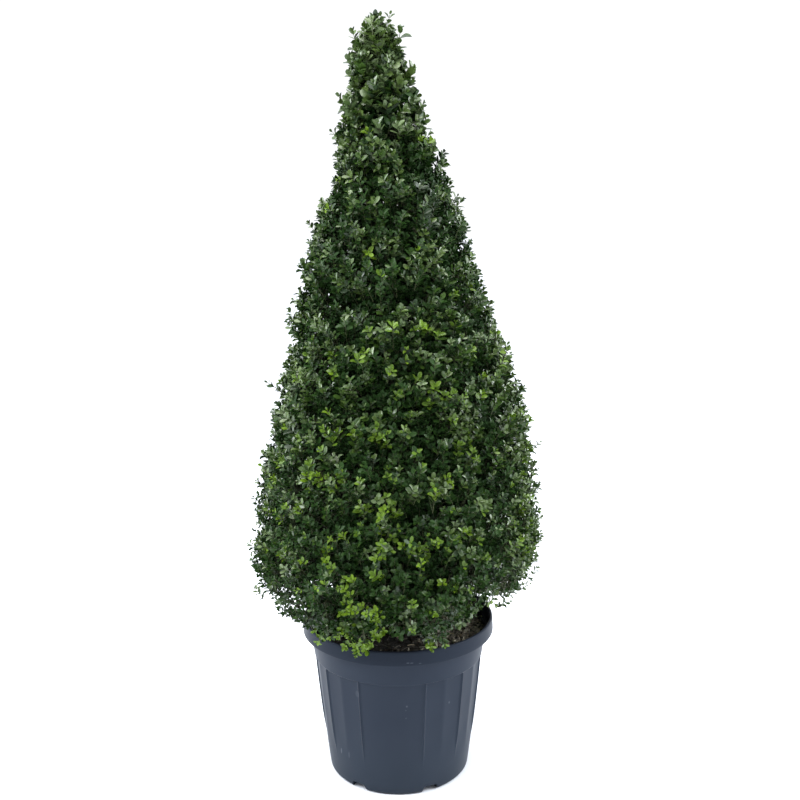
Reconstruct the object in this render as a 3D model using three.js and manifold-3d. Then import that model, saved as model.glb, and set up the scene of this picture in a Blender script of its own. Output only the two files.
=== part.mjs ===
// Boxwood clipped to a cone, growing in a round ribbed nursery container.
// Millimetres, +Z up. The origin is the centre of the container's flat
// underside; -Y is the front, +X is to the right seen from the front.
import * as THREE from 'three';
import { mergeVertices } from 'three/addons/utils/BufferGeometryUtils.js';
import Module from 'manifold-3d';

// ---------------------------------------------------------------- sizes (mm)
const POT_HEIGHT = 404;
const FOOT_R = 177.5;          // outside, just above the foot's small bevel
const FOOT_BEVEL = 5;
const BODY_TOP_R = 210.5;      // outside, where the body meets the collar
const BODY_BULGE = 1.5;        // how far the body's side bows out halfway up
const COLLAR_Z = 306;          // underside of the plain collar
const COLLAR_R0 = 213.5;
const COLLAR_R1 = 223;
const LIP_Z = 368;             // underside of the rolled lip
const LIP_R = 241.5;
const LIP_TOP_R = 239.6;
const LIP_INNER_R = 232.5;
const POT_WALL = 4;
const FLUTE_DEPTH = 2.2;       // how far each flat panel lies inside the round
const FLUTE_FADE = [72, 150];  // heights between which the panels grow
const FLUTE_COUNT = 9;         // flat panels on each side
const PLAIN_PANEL = 45;        // degrees, the plain panel in front and behind
const PATTERN_TURN = -4.75;    // degrees, the whole pattern's turn
const FLOOR_T = 5;             // floor of the container, inside
const FLOOR_STEP = 25;         // raised ring of the floor over the channels
const NOTCH_COUNT = 6;
const NOTCH_W = 42;
const NOTCH_TOP_W = 35;
const NOTCH_H = 17;
const NOTCH_IN_R = 128;        // where a drain channel runs out under the floor

const SOIL_Z = 372;            // level of the compost round the trunk
const SOIL_GAP = 0.6;

const PLANT_TOP = 1865;
const TRUNK_BASE_R = 37;       // over the root flare
const TRUNK_R = 24;            // above the flare
const TRUNK_TIP_R = 3;
const TRUNK_TOP = 1796;
const FLARE_H = 70;
const TOUCH = 0.45;            // gap between pieces that touch
const BOUGH_SEAT = 1.4;        // gap of a bough's flat-sided root to the round trunk

// The crown's half width and its sideways lean, at a few heights.
const CROWN_HALF = [
  [400, 262], [464, 310], [517, 338], [572, 351], [690, 344], [830, 328],
  [930, 304], [1030, 280], [1180, 235], [1320, 199], [1461, 152], [1598, 105],
  [1690, 86], [1777, 65], [1821, 44], [1850, 22], [1865, 5],
];
const LEAN = [
  [372, 0], [600, 2], [830, 8], [1000, 7], [1180, 1], [1320, -9], [1461, -13],
  [1598, -18], [1700, -28], [1800, -38], [1865, -41],
];
const LEAN_DEPTH = 9;          // how far the trunk wanders front to back
const RIGHT_LIFT = 34;         // the skirt is cut back on the right below this
const RIGHT_LIFT_Z = [540, 460];
const CORE_R = [[400, 150], [560, 120], [700, 92], [900, 58], [1060, 20]];

// Tiers of foliage: [name, height it starts at, borders of its sectors in
// degrees from +X, sector names].
const TIERS = [
  ['skirt', 408, [50, 125, 200, 262, 330], ['back', 'left', 'front_left', 'front', 'right']],
  ['lower', 700, [12, 104, 190, 281], ['back_right', 'back_left', 'front_left', 'front_right']],
  ['middle', 1010, [32, 152, 274], ['back', 'left', 'right']],
  ['upper', 1330, [72, 250], ['left', 'right']],
];
const TIP_Z = 1640;
const MASS_GAP = 3.0;          // half the cleft between two masses
const EDGE_TUCK = 9;           // how far a mass rounds in at its borders
const UNEVEN = 7;              // lumps on the clipped face
const TIER_WAVE = 13;          // how wavy the border of two tiers is

// Main boughs: [name, direction in degrees, height on the trunk, rise,
// radius at the trunk].
const BOUGHS = [
  ['bough_back', 92, 436, 0.50, 9],
  ['bough_left', 166, 418, 0.34, 10],
  ['bough_front_left', 231, 452, 0.46, 8.5],
  ['bough_front', 292, 428, 0.38, 9.5],
  ['bough_right', 8, 444, 0.62, 9],
  ['bough_high_back_right', 58, 604, 1.35, 8],
  ['bough_high_back_left', 142, 572, 1.5, 8],
  ['bough_high_front_left', 214, 590, 1.3, 7.5],
  ['bough_high_front_right', 318, 616, 1.45, 8],
];
const BOUGH_TAPER = 0.6;

// ------------------------------------------------------------------- helpers
const rad = (d) => (d * Math.PI) / 180;
const clamp = (v, a, b) => Math.min(b, Math.max(a, v));
const smooth = (a, b, v) => { const t = clamp((v - a) / (b - a), 0, 1); return t * t * (3 - 2 * t); };

// Smooth curve through a short table of [height, value].
function along(table, z) {
  const n = table.length;
  if (z <= table[0][0]) return table[0][1];
  if (z >= table[n - 1][0]) return table[n - 1][1];
  let i = 0;
  while (z > table[i + 1][0]) i += 1;
  const slope = (k) => {
    if (k <= 0 || k >= n - 1) return null;
    return (table[k + 1][1] - table[k - 1][1]) / (table[k + 1][0] - table[k - 1][0]);
  };
  const h = table[i + 1][0] - table[i][0];
  const lin = (table[i + 1][1] - table[i][1]) / h;
  const m0 = slope(i) ?? lin;
  const m1 = slope(i + 1) ?? lin;
  const t = (z - table[i][0]) / h;
  return (2 * t ** 3 - 3 * t ** 2 + 1) * table[i][1] + (t ** 3 - 2 * t ** 2 + t) * h * m0
    + (-2 * t ** 3 + 3 * t ** 2) * table[i + 1][1] + (t ** 3 - t ** 2) * h * m1;
}

function meshGeometry(points, faces) {
  let volume = 0;
  for (const [a, b, c] of faces) {
    volume += points[a].dot(new THREE.Vector3().crossVectors(points[b], points[c])) / 6;
  }
  const position = new Float32Array(points.length * 3);
  points.forEach((p, i) => p.toArray(position, i * 3));
  const index = [];
  for (const [a, b, c] of faces) index.push(...(volume > 0 ? [a, b, c] : [a, c, b]));
  const geometry = new THREE.BufferGeometry();
  geometry.setAttribute('position', new THREE.BufferAttribute(position, 3));
  geometry.setIndex(index);
  return mergeVertices(geometry, 1e-4);
}

// A skin over rings of equal length, closed at both ends on a single point.
function skin(rings, first, last) {
  const n = rings[0].length;
  const points = [first, ...rings.flat(), last];
  const at = (r, c) => 1 + r * n + (c % n);
  const faces = [];
  for (let c = 0; c < n; c += 1) {
    faces.push([0, at(0, c + 1), at(0, c)]);
    for (let r = 0; r + 1 < rings.length; r += 1) {
      faces.push([at(r, c), at(r, c + 1), at(r + 1, c + 1)]);
      faces.push([at(r, c), at(r + 1, c + 1), at(r + 1, c)]);
    }
    faces.push([points.length - 1, at(rings.length - 1, c), at(rings.length - 1, c + 1)]);
  }
  return meshGeometry(points, faces);
}

// The skin of a bent box: place(a, b, c) puts each point of an even lattice.
function bentBox(na, nb, nc, place) {
  const key = new Map();
  const points = [];
  const faces = [];
  const get = (i, j, k) => {
    const id = (i * (nb + 1) + j) * (nc + 1) + k;
    if (!key.has(id)) { key.set(id, points.length); points.push(place(i / na, j / nb, k / nc)); }
    return key.get(id);
  };
  const quad = (p, q, r, s, flip) => {
    if (flip) { faces.push([p, r, q], [p, s, r]); } else { faces.push([p, q, r], [p, r, s]); }
  };
  for (const side of [0, 1]) {
    for (let i = 0; i < na; i += 1) {
      for (let k = 0; k < nc; k += 1) {
        const j = side * nb;
        quad(get(i, j, k), get(i + 1, j, k), get(i + 1, j, k + 1), get(i, j, k + 1), side === 1);
      }
      for (let j = 0; j < nb; j += 1) {
        const k = side * nc;
        quad(get(i, j, k), get(i + 1, j, k), get(i + 1, j + 1, k), get(i, j + 1, k), side === 0);
      }
    }
    for (let j = 0; j < nb; j += 1) {
      for (let k = 0; k < nc; k += 1) {
        const i = side * na;
        quad(get(i, j, k), get(i, j + 1, k), get(i, j + 1, k + 1), get(i, j, k + 1), side === 0);
      }
    }
  }
  return meshGeometry(points, faces);
}

const wasm = await Module();
wasm.setup();
function toSolid(geometry) {
  const g = geometry.clone();
  g.deleteAttribute('normal');
  g.deleteAttribute('uv');
  const merged = mergeVertices(g, 1e-4);
  return new wasm.Manifold(new wasm.Mesh({
    numProp: 3,
    vertProperties: new Float32Array(merged.getAttribute('position').array),
    triVerts: new Uint32Array(merged.getIndex().array),
  }));
}
function toGeometry(solid) {
  const mesh = solid.getMesh();
  const geometry = new THREE.BufferGeometry();
  geometry.setAttribute('position', new THREE.BufferAttribute(new Float32Array(mesh.vertProperties), 3));
  geometry.setIndex([...mesh.triVerts]);
  return geometry;
}

const group = new THREE.Group();
function add(name, geometry, material) {
  geometry.computeVertexNormals();
  const mesh = new THREE.Mesh(geometry, material);
  mesh.name = name;
  group.add(mesh);
}

const plastic = new THREE.MeshStandardMaterial({ color: 0x3e444c, roughness: 0.42, metalness: 0 });
const compost = new THREE.MeshStandardMaterial({ color: 0x2e241b, roughness: 0.95, metalness: 0 });
const bark = new THREE.MeshStandardMaterial({ color: 0x8d8468, roughness: 0.85, metalness: 0 });
const foliage = new THREE.MeshStandardMaterial({ color: 0x2c4a20, roughness: 0.55, metalness: 0 });

// ----------------------------------------------------------------- container
// Directions of the skin's columns, counted from the front, so that each
// corner between two flat panels lies on a column.
const FLUTE_SPAN = (180 - PLAIN_PANEL) / FLUTE_COUNT;
const columns = [];
for (const base of [0, 180]) {
  for (let i = 0; i < 6; i += 1) columns.push(base - PLAIN_PANEL / 2 + (PLAIN_PANEL * i) / 6);
  for (let i = 0; i < FLUTE_COUNT * 3; i += 1) {
    columns.push(base + PLAIN_PANEL / 2 + (FLUTE_SPAN * i) / 3);
  }
}
// 0 on the plain panels and on each corner, 1 along the middle of a flat panel.
function fluteShare(direction) {
  const a = ((direction % 180) + 180) % 180;
  const b = a > 180 - PLAIN_PANEL / 2 ? a - 180 : a;
  if (b < PLAIN_PANEL / 2) return 0;
  const t = ((b - PLAIN_PANEL / 2) / FLUTE_SPAN) % 1;
  return 1 - (2 * t - 1) ** 2;
}
// A point at a direction counted from the front towards the right.
function round(direction, r, z) {
  const a = rad(direction + PATTERN_TURN) - Math.PI / 2;
  return new THREE.Vector3(r * Math.cos(a), r * Math.sin(a), z);
}
function bodyRadius(z) {
  const t = clamp(z / COLLAR_Z, 0, 1);
  return FOOT_R + (BODY_TOP_R - FOOT_R) * t + BODY_BULGE * 4 * t * (1 - t);
}
function fluteDepth(z) {
  return FLUTE_DEPTH * smooth(FLUTE_FADE[0], FLUTE_FADE[1], z);
}
// The container's outline: [height, radius, flute depth].
const outside = [
  [0, FOOT_R - FOOT_BEVEL, 0],
  [FOOT_BEVEL + 1, bodyRadius(FOOT_BEVEL), 0],
  ...[FLUTE_FADE[0], 110, 150, 226, COLLAR_Z - 3].map((z) => [z, bodyRadius(z), fluteDepth(z)]),
  [COLLAR_Z, COLLAR_R0, 0],
  [LIP_Z - 4, COLLAR_R1, 0],
  [LIP_Z, LIP_R, 0],
  [POT_HEIGHT - 3, LIP_TOP_R, 0],
  [POT_HEIGHT, LIP_TOP_R - 2, 0],
];
const inside = [
  [POT_HEIGHT, LIP_INNER_R + 1.5, 0],
  [POT_HEIGHT - 3, LIP_INNER_R, 0],
  [LIP_Z + 2, LIP_INNER_R - 0.5, 0],
  [LIP_Z - 6, COLLAR_R1 - POT_WALL - 0.5, 0],
  [COLLAR_Z + 4, COLLAR_R0 - POT_WALL, 0],
  ...[COLLAR_Z - 5, 150, FLUTE_FADE[0]].map((z) => [z, bodyRadius(z) - POT_WALL, fluteDepth(z)]),
  [FLOOR_STEP, bodyRadius(FLOOR_STEP) - POT_WALL - 1.5, 0],
  [FLOOR_STEP, 152, 0],
  [FLOOR_T, NOTCH_IN_R - 8, 0],
];
const ring = ([z, r, depth]) => columns.map((d) => round(d, r - depth * fluteShare(d), z));
let pot = toSolid(skin(
  [...outside, ...inside].map(ring),
  new THREE.Vector3(0, 0, 0),
  new THREE.Vector3(0, 0, FLOOR_T),
));
for (let i = 0; i < NOTCH_COUNT; i += 1) {
  // A wedge under the foot: a drain channel that opens as a notch.
  const direction = 30 + (360 / NOTCH_COUNT) * i;
  const out = round(direction, 1, 0);
  const across = new THREE.Vector3(-out.y, out.x, 0);
  const put = (r, w, z) => out.clone().multiplyScalar(r).addScaledVector(across, w)
    .add(new THREE.Vector3(0, 0, z));
  const points = [
    put(FOOT_R + 12, -NOTCH_W / 2, -2), put(FOOT_R + 12, NOTCH_W / 2, -2),
    put(FOOT_R + 12, NOTCH_TOP_W / 2, NOTCH_H + 3), put(FOOT_R + 12, -NOTCH_TOP_W / 2, NOTCH_H + 3),
    put(NOTCH_IN_R, -NOTCH_W / 2, -2), put(NOTCH_IN_R, NOTCH_W / 2, -2),
  ];
  pot = pot.subtract(toSolid(meshGeometry(points, [
    [0, 1, 2], [0, 2, 3], [1, 5, 2], [0, 3, 4], [3, 2, 5], [3, 5, 4], [0, 4, 5], [0, 5, 1],
  ])));
}
add('pot', toGeometry(pot), plastic);

// ------------------------------------------------------------------- compost
// It fills the container to a little below the rim, a bit uneven, and is
// level under the trunk's cut.
const soilColumns = columns.filter((_, i) => i % 2 === 0);
function soilTop(direction, r) {
  const calm = smooth(TRUNK_BASE_R + 6, TRUNK_BASE_R + 60, r);
  const a = rad(direction);
  return SOIL_Z + calm * (3 * Math.sin(2 * a + 0.7) + 2.5 * Math.sin(5 * a + r / 31) - 3);
}
const soilRings = [
  [FLOOR_T, NOTCH_IN_R - 9, 0], [FLOOR_STEP, 151.5, 0], [FLOOR_STEP, bodyRadius(FLOOR_STEP) - POT_WALL - 2, 0],
  [FLUTE_FADE[0], bodyRadius(FLUTE_FADE[0]) - POT_WALL, 0],
  [150, bodyRadius(150) - POT_WALL, FLUTE_DEPTH],
  [COLLAR_Z - 6, bodyRadius(COLLAR_Z - 6) - POT_WALL, FLUTE_DEPTH],
  [COLLAR_Z + 3, COLLAR_R0 - POT_WALL, 0],
  [LIP_Z - 7, COLLAR_R1 - POT_WALL - 0.5, 0],
].map(([z, r, depth]) => soilColumns.map((d) => round(
  d, r - (z > FLOOR_STEP ? SOIL_GAP + 0.4 + depth : SOIL_GAP), z + (z <= FLOOR_STEP ? SOIL_GAP : 0),
)));
for (const r of [COLLAR_R1 - POT_WALL - 3, 180, 130, 85, TRUNK_BASE_R + 6]) {
  soilRings.push(soilColumns.map((d) => round(d, r, soilTop(d, r) - (r > 200 ? 6 : 0))));
}
add('soil', skin(
  soilRings,
  new THREE.Vector3(0, 0, FLOOR_T + SOIL_GAP),
  new THREE.Vector3(0, 0, SOIL_Z),
), compost);

// --------------------------------------------------------------------- trunk
const TRUNK_Z0 = SOIL_Z + TOUCH;
function heart(z) {
  const t = clamp((z - TRUNK_Z0) / (PLANT_TOP - TRUNK_Z0), 0, 1);
  return new THREE.Vector3(along(LEAN, z), LEAN_DEPTH * Math.sin(5.2 * t) * smooth(0, 0.15, t), z);
}
function trunkRadius(z) {
  const t = clamp((z - TRUNK_Z0) / (TRUNK_TOP - TRUNK_Z0), 0, 1);
  const stem = TRUNK_R + (TRUNK_TIP_R - TRUNK_R) * (0.25 * t + 0.75 * t ** 0.82);
  const up = clamp(1 - (z - TRUNK_Z0) / FLARE_H, 0, 1);
  return stem + (TRUNK_BASE_R - TRUNK_R) * up * up;
}
// Five low root ribs swell the flare.
function trunkSkin(angle, z) {
  const up = clamp(1 - (z - TRUNK_Z0) / FLARE_H, 0, 1);
  return trunkRadius(z) * (1 + 0.1 * up * Math.cos(5 * angle + 0.8) - 0.1 * up);
}
const TRUNK_SIDES = 12;
const trunkRings = [];
for (let i = 0; i <= 27; i += 1) {
  const t = i / 27;
  const z = TRUNK_Z0 + (TRUNK_TOP - TRUNK_Z0) * (0.55 * t + 0.45 * t * t);
  const c = heart(z);
  trunkRings.push(Array.from({ length: TRUNK_SIDES }, (_, k) => {
    const a = (2 * Math.PI * k) / TRUNK_SIDES;
    const r = trunkSkin(a, z);
    return new THREE.Vector3(c.x + r * Math.cos(a), c.y + r * Math.sin(a), z);
  }));
}
const trunkFoot = heart(TRUNK_Z0);
const trunkTip = heart(TRUNK_TOP);
trunkTip.z += TRUNK_TIP_R;
add('trunk', skin(trunkRings, trunkFoot, trunkTip), bark);

// --------------------------------------------------------------------- crown
// The clipped outline: distance of the foliage's face from the trunk's heart.
function crownRadius(angle, z) {
  const half = along(CROWN_HALF, z);
  const lift = RIGHT_LIFT * smooth(RIGHT_LIFT_Z[0], RIGHT_LIFT_Z[1], z);
  const share = clamp(half / 220, 0.15, 1);
  const lumps = Math.sin(3 * angle + z / 118 + 0.6) + 0.7 * Math.sin(5 * angle - z / 71 + 2)
    + 0.6 * Math.sin(8 * angle + z / 47) + 0.5 * Math.sin(z / 23 + 2 * angle);
  return half - lift * Math.cos(angle) + UNEVEN * share * 0.55 * lumps;
}
function coreRadius(z) {
  return Math.max(z < CORE_R[CORE_R.length - 1][0] ? along(CORE_R, z) : 0, trunkRadius(z) + 1.8);
}
// Wavy border under a tier; the skirt's underside rises at the right-hand front
// and hangs lowest at the front left, in [degrees, height].
const SKIRT = [
  [0, 462], [30, 448], [60, 432], [90, 426], [140, 432], [170, 446], [205, 446], [228, 426],
  [240, 412], [254, 412], [268, 430], [282, 430], [300, 452], [318, 476], [340, 474], [360, 462],
];
function border(level, angle) {
  if (level === TIERS[0][1]) {
    const a = (((angle * 180) / Math.PI % 360) + 360) % 360;
    return along(SKIRT, a);
  }
  return level + TIER_WAVE * (0.6 * Math.sin(2 * angle + level) + 0.4 * Math.sin(3 * angle + level / 7));
}
const tops = [...TIERS.slice(1).map((t) => t[1]), TIP_Z];
TIERS.forEach(([tier, level, borders, names], row) => {
  borders.forEach((from, s) => {
    const to = s + 1 < borders.length ? borders[s + 1] : borders[0] + 360;
    const place = (a, b, c) => {
      const bend = 4 * Math.sin(3.3 * c + row + 1.7);
      const start = rad(from + bend * Math.sin(from));
      const end = rad(to + bend * Math.sin(to % 360));
      const angle = start + (end - start) * a;
      // A border between sectors stays the same width at every radius.
      let z = level;
      let r = 0;
      let turned = angle;
      for (let i = 0; i < 3; i += 1) {
        const low = border(level, turned) + (row ? MASS_GAP : 0);
        const high = border(tops[row], turned) - MASS_GAP;
        z = low + (high - low) * c;
        const edge = Math.max(Math.abs(2 * a - 1), Math.abs(2 * c - 1)) ** 6;
        const r0 = coreRadius(z);
        r = r0 + (crownRadius(angle, z) - EDGE_TUCK * edge - r0) * b;
        turned = angle + (MASS_GAP / r) * (1 - 2 * a);
      }
      const h = heart(z);
      return new THREE.Vector3(h.x + r * Math.cos(turned), h.y + r * Math.sin(turned), z);
    };
    add(`foliage_${tier}_${names[s]}`, bentBox(Math.round((to - from) / 14), 2, 6, place), foliage);
  });
});
// The spire closes over the trunk's tip.
const SPIRE_SIDES = 18;
const spireRing = (radius, height) => Array.from({ length: SPIRE_SIDES }, (_, k) => {
  const a = (2 * Math.PI * k) / SPIRE_SIDES;
  const z = height(a);
  const c = heart(z);
  const r = radius(a, z);
  return new THREE.Vector3(c.x + r * Math.cos(a), c.y + r * Math.sin(a), z);
});
const spire = [];
const boreTop = TRUNK_TOP + 8;
for (const t of [1, 0.55, 0.15, 0]) {
  spire.push(spireRing(
    (a, z) => trunkRadius(Math.min(z, TRUNK_TOP)) + 2,
    (a) => { const low = border(TIP_Z, a) + MASS_GAP; return low + (boreTop - low) * t; },
  ));
}
for (const t of [0, 0.06, 0.2, 0.36, 0.52, 0.68, 0.82, 0.93, 0.985]) {
  spire.push(spireRing(
    (a, z) => crownRadius(a, z) - (t === 0 ? EDGE_TUCK : 0),
    (a) => { const low = border(TIP_Z, a) + MASS_GAP; return low + (PLANT_TOP - low) * t; },
  ));
}
const boreEnd = heart(boreTop);
add('foliage_tip', skin(spire, boreEnd, heart(PLANT_TOP)), foliage);

// -------------------------------------------------------------------- boughs
// Each leaves the trunk and ends where it enters its mass of foliage.
const BOUGH_SIDES = 7;
const BOUGH_ROWS = 7;
for (const [name, direction, z0, rise, r0] of BOUGHS) {
  const a = rad(direction);
  const out = new THREE.Vector3(Math.cos(a), Math.sin(a), 0);
  const root = heart(z0);
  // It sets off steeply and levels out a little, like a limb kept in a clipped crown.
  const spine = (t, reach) => root.clone()
    .addScaledVector(out, t * reach)
    .add(new THREE.Vector3(0, 0, rise * reach * (t + 0.22 * Math.sin(Math.PI * t))))
    .addScaledVector(new THREE.Vector3(-out.y, out.x, 0), 5 * (Math.sin(2.4 * t + direction) - Math.sin(direction)));
  let reach = 150;
  for (let i = 0; i < 30; i += 1) {
    const end = spine(1, reach);
    const h = heart(end.z);
    const apart = Math.hypot(end.x - h.x, end.y - h.y);
    reach += coreRadius(end.z) - 6 - apart;
    reach = clamp(reach, 20, 220);
  }
  const curve = new THREE.CatmullRomCurve3(
    Array.from({ length: 9 }, (_, i) => spine(i / 8, reach)),
  );
  const rings = [];
  for (let i = 0; i <= BOUGH_ROWS; i += 1) {
    const t = i / BOUGH_ROWS;
    const p = curve.getPoint(t);
    const along3 = curve.getTangent(t);
    const u = new THREE.Vector3().crossVectors(along3, new THREE.Vector3(0, 0, 1)).normalize();
    const v = new THREE.Vector3().crossVectors(u, along3).normalize();
    const collar = 1 + 0.35 * (1 - t) ** 6;
    const r = r0 * collar * (1 - (1 - BOUGH_TAPER) * t);
    rings.push(Array.from({ length: BOUGH_SIDES }, (_, k) => {
      const w = (2 * Math.PI * k) / BOUGH_SIDES;
      return p.clone().addScaledVector(u, r * Math.cos(w)).addScaledVector(v, r * Math.sin(w));
    }));
  }
  // The first ring lies along the trunk's bark.
  const step = curve.getTangent(0.02);
  const seat = (p) => {
    for (let i = 0; i < 400; i += 1) {
      const h = heart(p.z);
      if (Math.hypot(p.x - h.x, p.y - h.y) >= trunkRadius(p.z) + BOUGH_SEAT) break;
      p.addScaledVector(step, 0.25);
    }
    return p;
  };
  rings[0].forEach(seat);
  const first = seat(curve.getPoint(0));
  // Rings that lie inside the trunk are left out.
  const kept = [rings[0], ...rings.slice(1).filter((points) => {
    return points.every((p) => {
      const h = heart(p.z);
      return Math.hypot(p.x - h.x, p.y - h.y) > trunkRadius(p.z) + 9;
    });
  })];
  add(name, skin(kept, first, curve.getPoint(1)), bark);
}

export default group;
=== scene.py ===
"""Boxwood clipped to a cone in a ribbed nursery container: the looks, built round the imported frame.

Metres, +Z up, -Y towards the viewer. Everything that grows is made by seeded rules:
limbs leave the trunk, branches leave the limbs, shoots leave the branches, and
opposite pairs of leaves sit on the shoots.
"""
import math

import bpy
import numpy as np
from mathutils import Matrix, Vector, noise


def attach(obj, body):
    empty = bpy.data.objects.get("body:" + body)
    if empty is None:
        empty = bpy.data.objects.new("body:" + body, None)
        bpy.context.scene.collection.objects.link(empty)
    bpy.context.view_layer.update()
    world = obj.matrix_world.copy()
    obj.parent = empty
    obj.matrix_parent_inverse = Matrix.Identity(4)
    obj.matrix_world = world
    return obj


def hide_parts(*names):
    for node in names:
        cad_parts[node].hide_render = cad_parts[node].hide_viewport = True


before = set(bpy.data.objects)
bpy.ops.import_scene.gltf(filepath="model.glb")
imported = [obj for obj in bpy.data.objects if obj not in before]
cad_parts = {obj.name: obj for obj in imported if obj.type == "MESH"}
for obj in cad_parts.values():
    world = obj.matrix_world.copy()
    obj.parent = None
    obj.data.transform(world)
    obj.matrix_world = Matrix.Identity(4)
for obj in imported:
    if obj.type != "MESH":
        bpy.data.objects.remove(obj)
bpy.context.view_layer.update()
rng = np.random.default_rng(4107)
MM = 0.001


# ------------------------------------------------------------------ camera
CAM_DISTANCE, CAM_HEIGHT = 2.5, 1.434
CAM_PITCH, CAM_YAW, CAM_ROLL = math.radians(10.83), math.radians(0.22), math.radians(0.485)
cam_data = bpy.data.cameras.new("camera")
cam_data.lens, cam_data.sensor_width = 46.67, 36.0
cam_data.clip_start, cam_data.clip_end = 0.05, 60.0
cam = bpy.data.objects.new("camera", cam_data)
bpy.context.scene.collection.objects.link(cam)
forward = Vector((math.sin(CAM_YAW) * math.cos(CAM_PITCH), math.cos(CAM_YAW) * math.cos(CAM_PITCH), -math.sin(CAM_PITCH)))
side = Vector((math.cos(CAM_YAW), -math.sin(CAM_YAW), 0.0))
over = side.cross(forward)
right = side * math.cos(CAM_ROLL) - over * math.sin(CAM_ROLL)
upward = over * math.cos(CAM_ROLL) + side * math.sin(CAM_ROLL)
turn = Matrix((right, upward, -forward)).transposed().to_4x4()
cam.matrix_world = Matrix.Translation((0.0, -CAM_DISTANCE, CAM_HEIGHT)) @ turn
bpy.context.scene.camera = cam


# ----------------------------------------------------------- shared shapes
def curve_through(table):
    """The smooth curve of the construction through [height, value] pairs, in metres."""
    t = np.array(table, float) * MM
    zs, vs = t[:, 0], t[:, 1]
    lin = np.diff(vs) / np.diff(zs)
    m = np.empty(len(zs))
    m[0], m[-1] = lin[0], lin[-1]
    m[1:-1] = (vs[2:] - vs[:-2]) / (zs[2:] - zs[:-2])

    def at(z):
        z = np.clip(np.asarray(z, float), zs[0], zs[-1])
        i = np.clip(np.searchsorted(zs, z, side="right") - 1, 0, len(zs) - 2)
        h = zs[i + 1] - zs[i]
        u = (z - zs[i]) / h
        return ((2 * u**3 - 3 * u**2 + 1) * vs[i] + (u**3 - 2 * u**2 + u) * h * m[i]
                + (-2 * u**3 + 3 * u**2) * vs[i + 1] + (u**3 - u**2) * h * m[i + 1])

    return at


crown_half = curve_through([
    [400, 262], [464, 310], [517, 338], [572, 351], [690, 344], [830, 328],
    [930, 304], [1030, 280], [1180, 235], [1320, 199], [1461, 152], [1598, 105],
    [1690, 86], [1777, 65], [1821, 44], [1850, 22], [1865, 5]])
lean = curve_through([
    [372, 0], [600, 2], [830, 8], [1000, 7], [1180, 1], [1320, -9], [1461, -13],
    [1598, -18], [1700, -28], [1800, -38], [1865, -41]])
PLANT_TOP, TRUNK_Z0, TRUNK_TOP = 1.865, 0.37245, 1.796
RIGHT_LIFT = 0.034


def smooth(a, b, v):
    t = np.clip((np.asarray(v, float) - a) / (b - a), 0, 1)
    return t * t * (3 - 2 * t)


def heart(z):
    """Centre of the trunk at a height."""
    z = np.asarray(z, float)
    t = np.clip((z - TRUNK_Z0) / (PLANT_TOP - TRUNK_Z0), 0, 1)
    y = 0.009 * np.sin(5.2 * t) * smooth(0, 0.15, t)
    return np.stack([lean(z), y, z], -1)


def trunk_radius(z):
    t = np.clip((np.asarray(z, float) - TRUNK_Z0) / (TRUNK_TOP - TRUNK_Z0), 0, 1)
    stem = 0.024 - 0.021 * (0.25 * t + 0.75 * t**0.82)
    up = np.clip(1 - (z - TRUNK_Z0) / 0.070, 0, 1)
    return stem + 0.013 * up * up


def crown_radius(a, z):
    """Distance of the clipped face from the trunk's centre."""
    half = crown_half(z)
    lift = RIGHT_LIFT * smooth(0.540, 0.460, z)
    share = np.clip(half / 0.220, 0.15, 1)
    zz = z / MM
    lumps = (np.sin(3 * a + zz / 118 + 0.6) + 0.7 * np.sin(5 * a - zz / 71 + 2)
             + 0.6 * np.sin(8 * a + zz / 47) + 0.5 * np.sin(zz / 23 + 2 * a))
    return half - lift * np.cos(a) + 0.007 * share * 0.55 * lumps


SKIRT = np.array([(-25, 0.522), (-17, 0.475), (-10, 0.452), (0, 0.452), (30, 0.448), (60, 0.438), (90, 0.425), (140, 0.434), (158, 0.462),
                  (172, 0.490), (190, 0.500), (210, 0.500), (218, 0.475), (222, 0.458), (228, 0.440), (237, 0.430), (246, 0.408),
                  (254, 0.418), (261, 0.466), (281, 0.460), (286, 0.415), (292, 0.412), (298, 0.440), (304, 0.492), (312, 0.520),
                  (322, 0.532), (335, 0.522), (343, 0.475), (350, 0.452), (360, 0.452)])
SKIRT_DROP = np.array([(0, 0.0), (140, 0.0), (165, 0.080), (215, 0.080), (230, 0.020), (250, 0.0), (300, 0.0), (312, 0.050),
                       (336, 0.050), (344, 0.0), (360, 0.0)])


def skirt_level(a):
    """Height of the crown's underside: it hangs to the rim in front and on the left,
    and is open towards the right-hand front, where the compost shows."""
    return np.interp(np.degrees(a) % 360, SKIRT[:, 0], SKIRT[:, 1])


def unit(v):
    return v / np.maximum(np.linalg.norm(v, axis=-1, keepdims=True), 1e-12)


# --------------------------------------------------------------- materials
def plain(name, color, roughness=0.5, specular=0.5):
    m = bpy.data.materials.new(name)
    m.use_nodes = True
    b = m.node_tree.nodes["Principled BSDF"]
    b.inputs["Base Color"].default_value = (*color, 1)
    b.inputs["Roughness"].default_value = roughness
    b.inputs["Specular IOR Level"].default_value = specular
    m.diffuse_color = (*color, 1)
    return m


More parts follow.
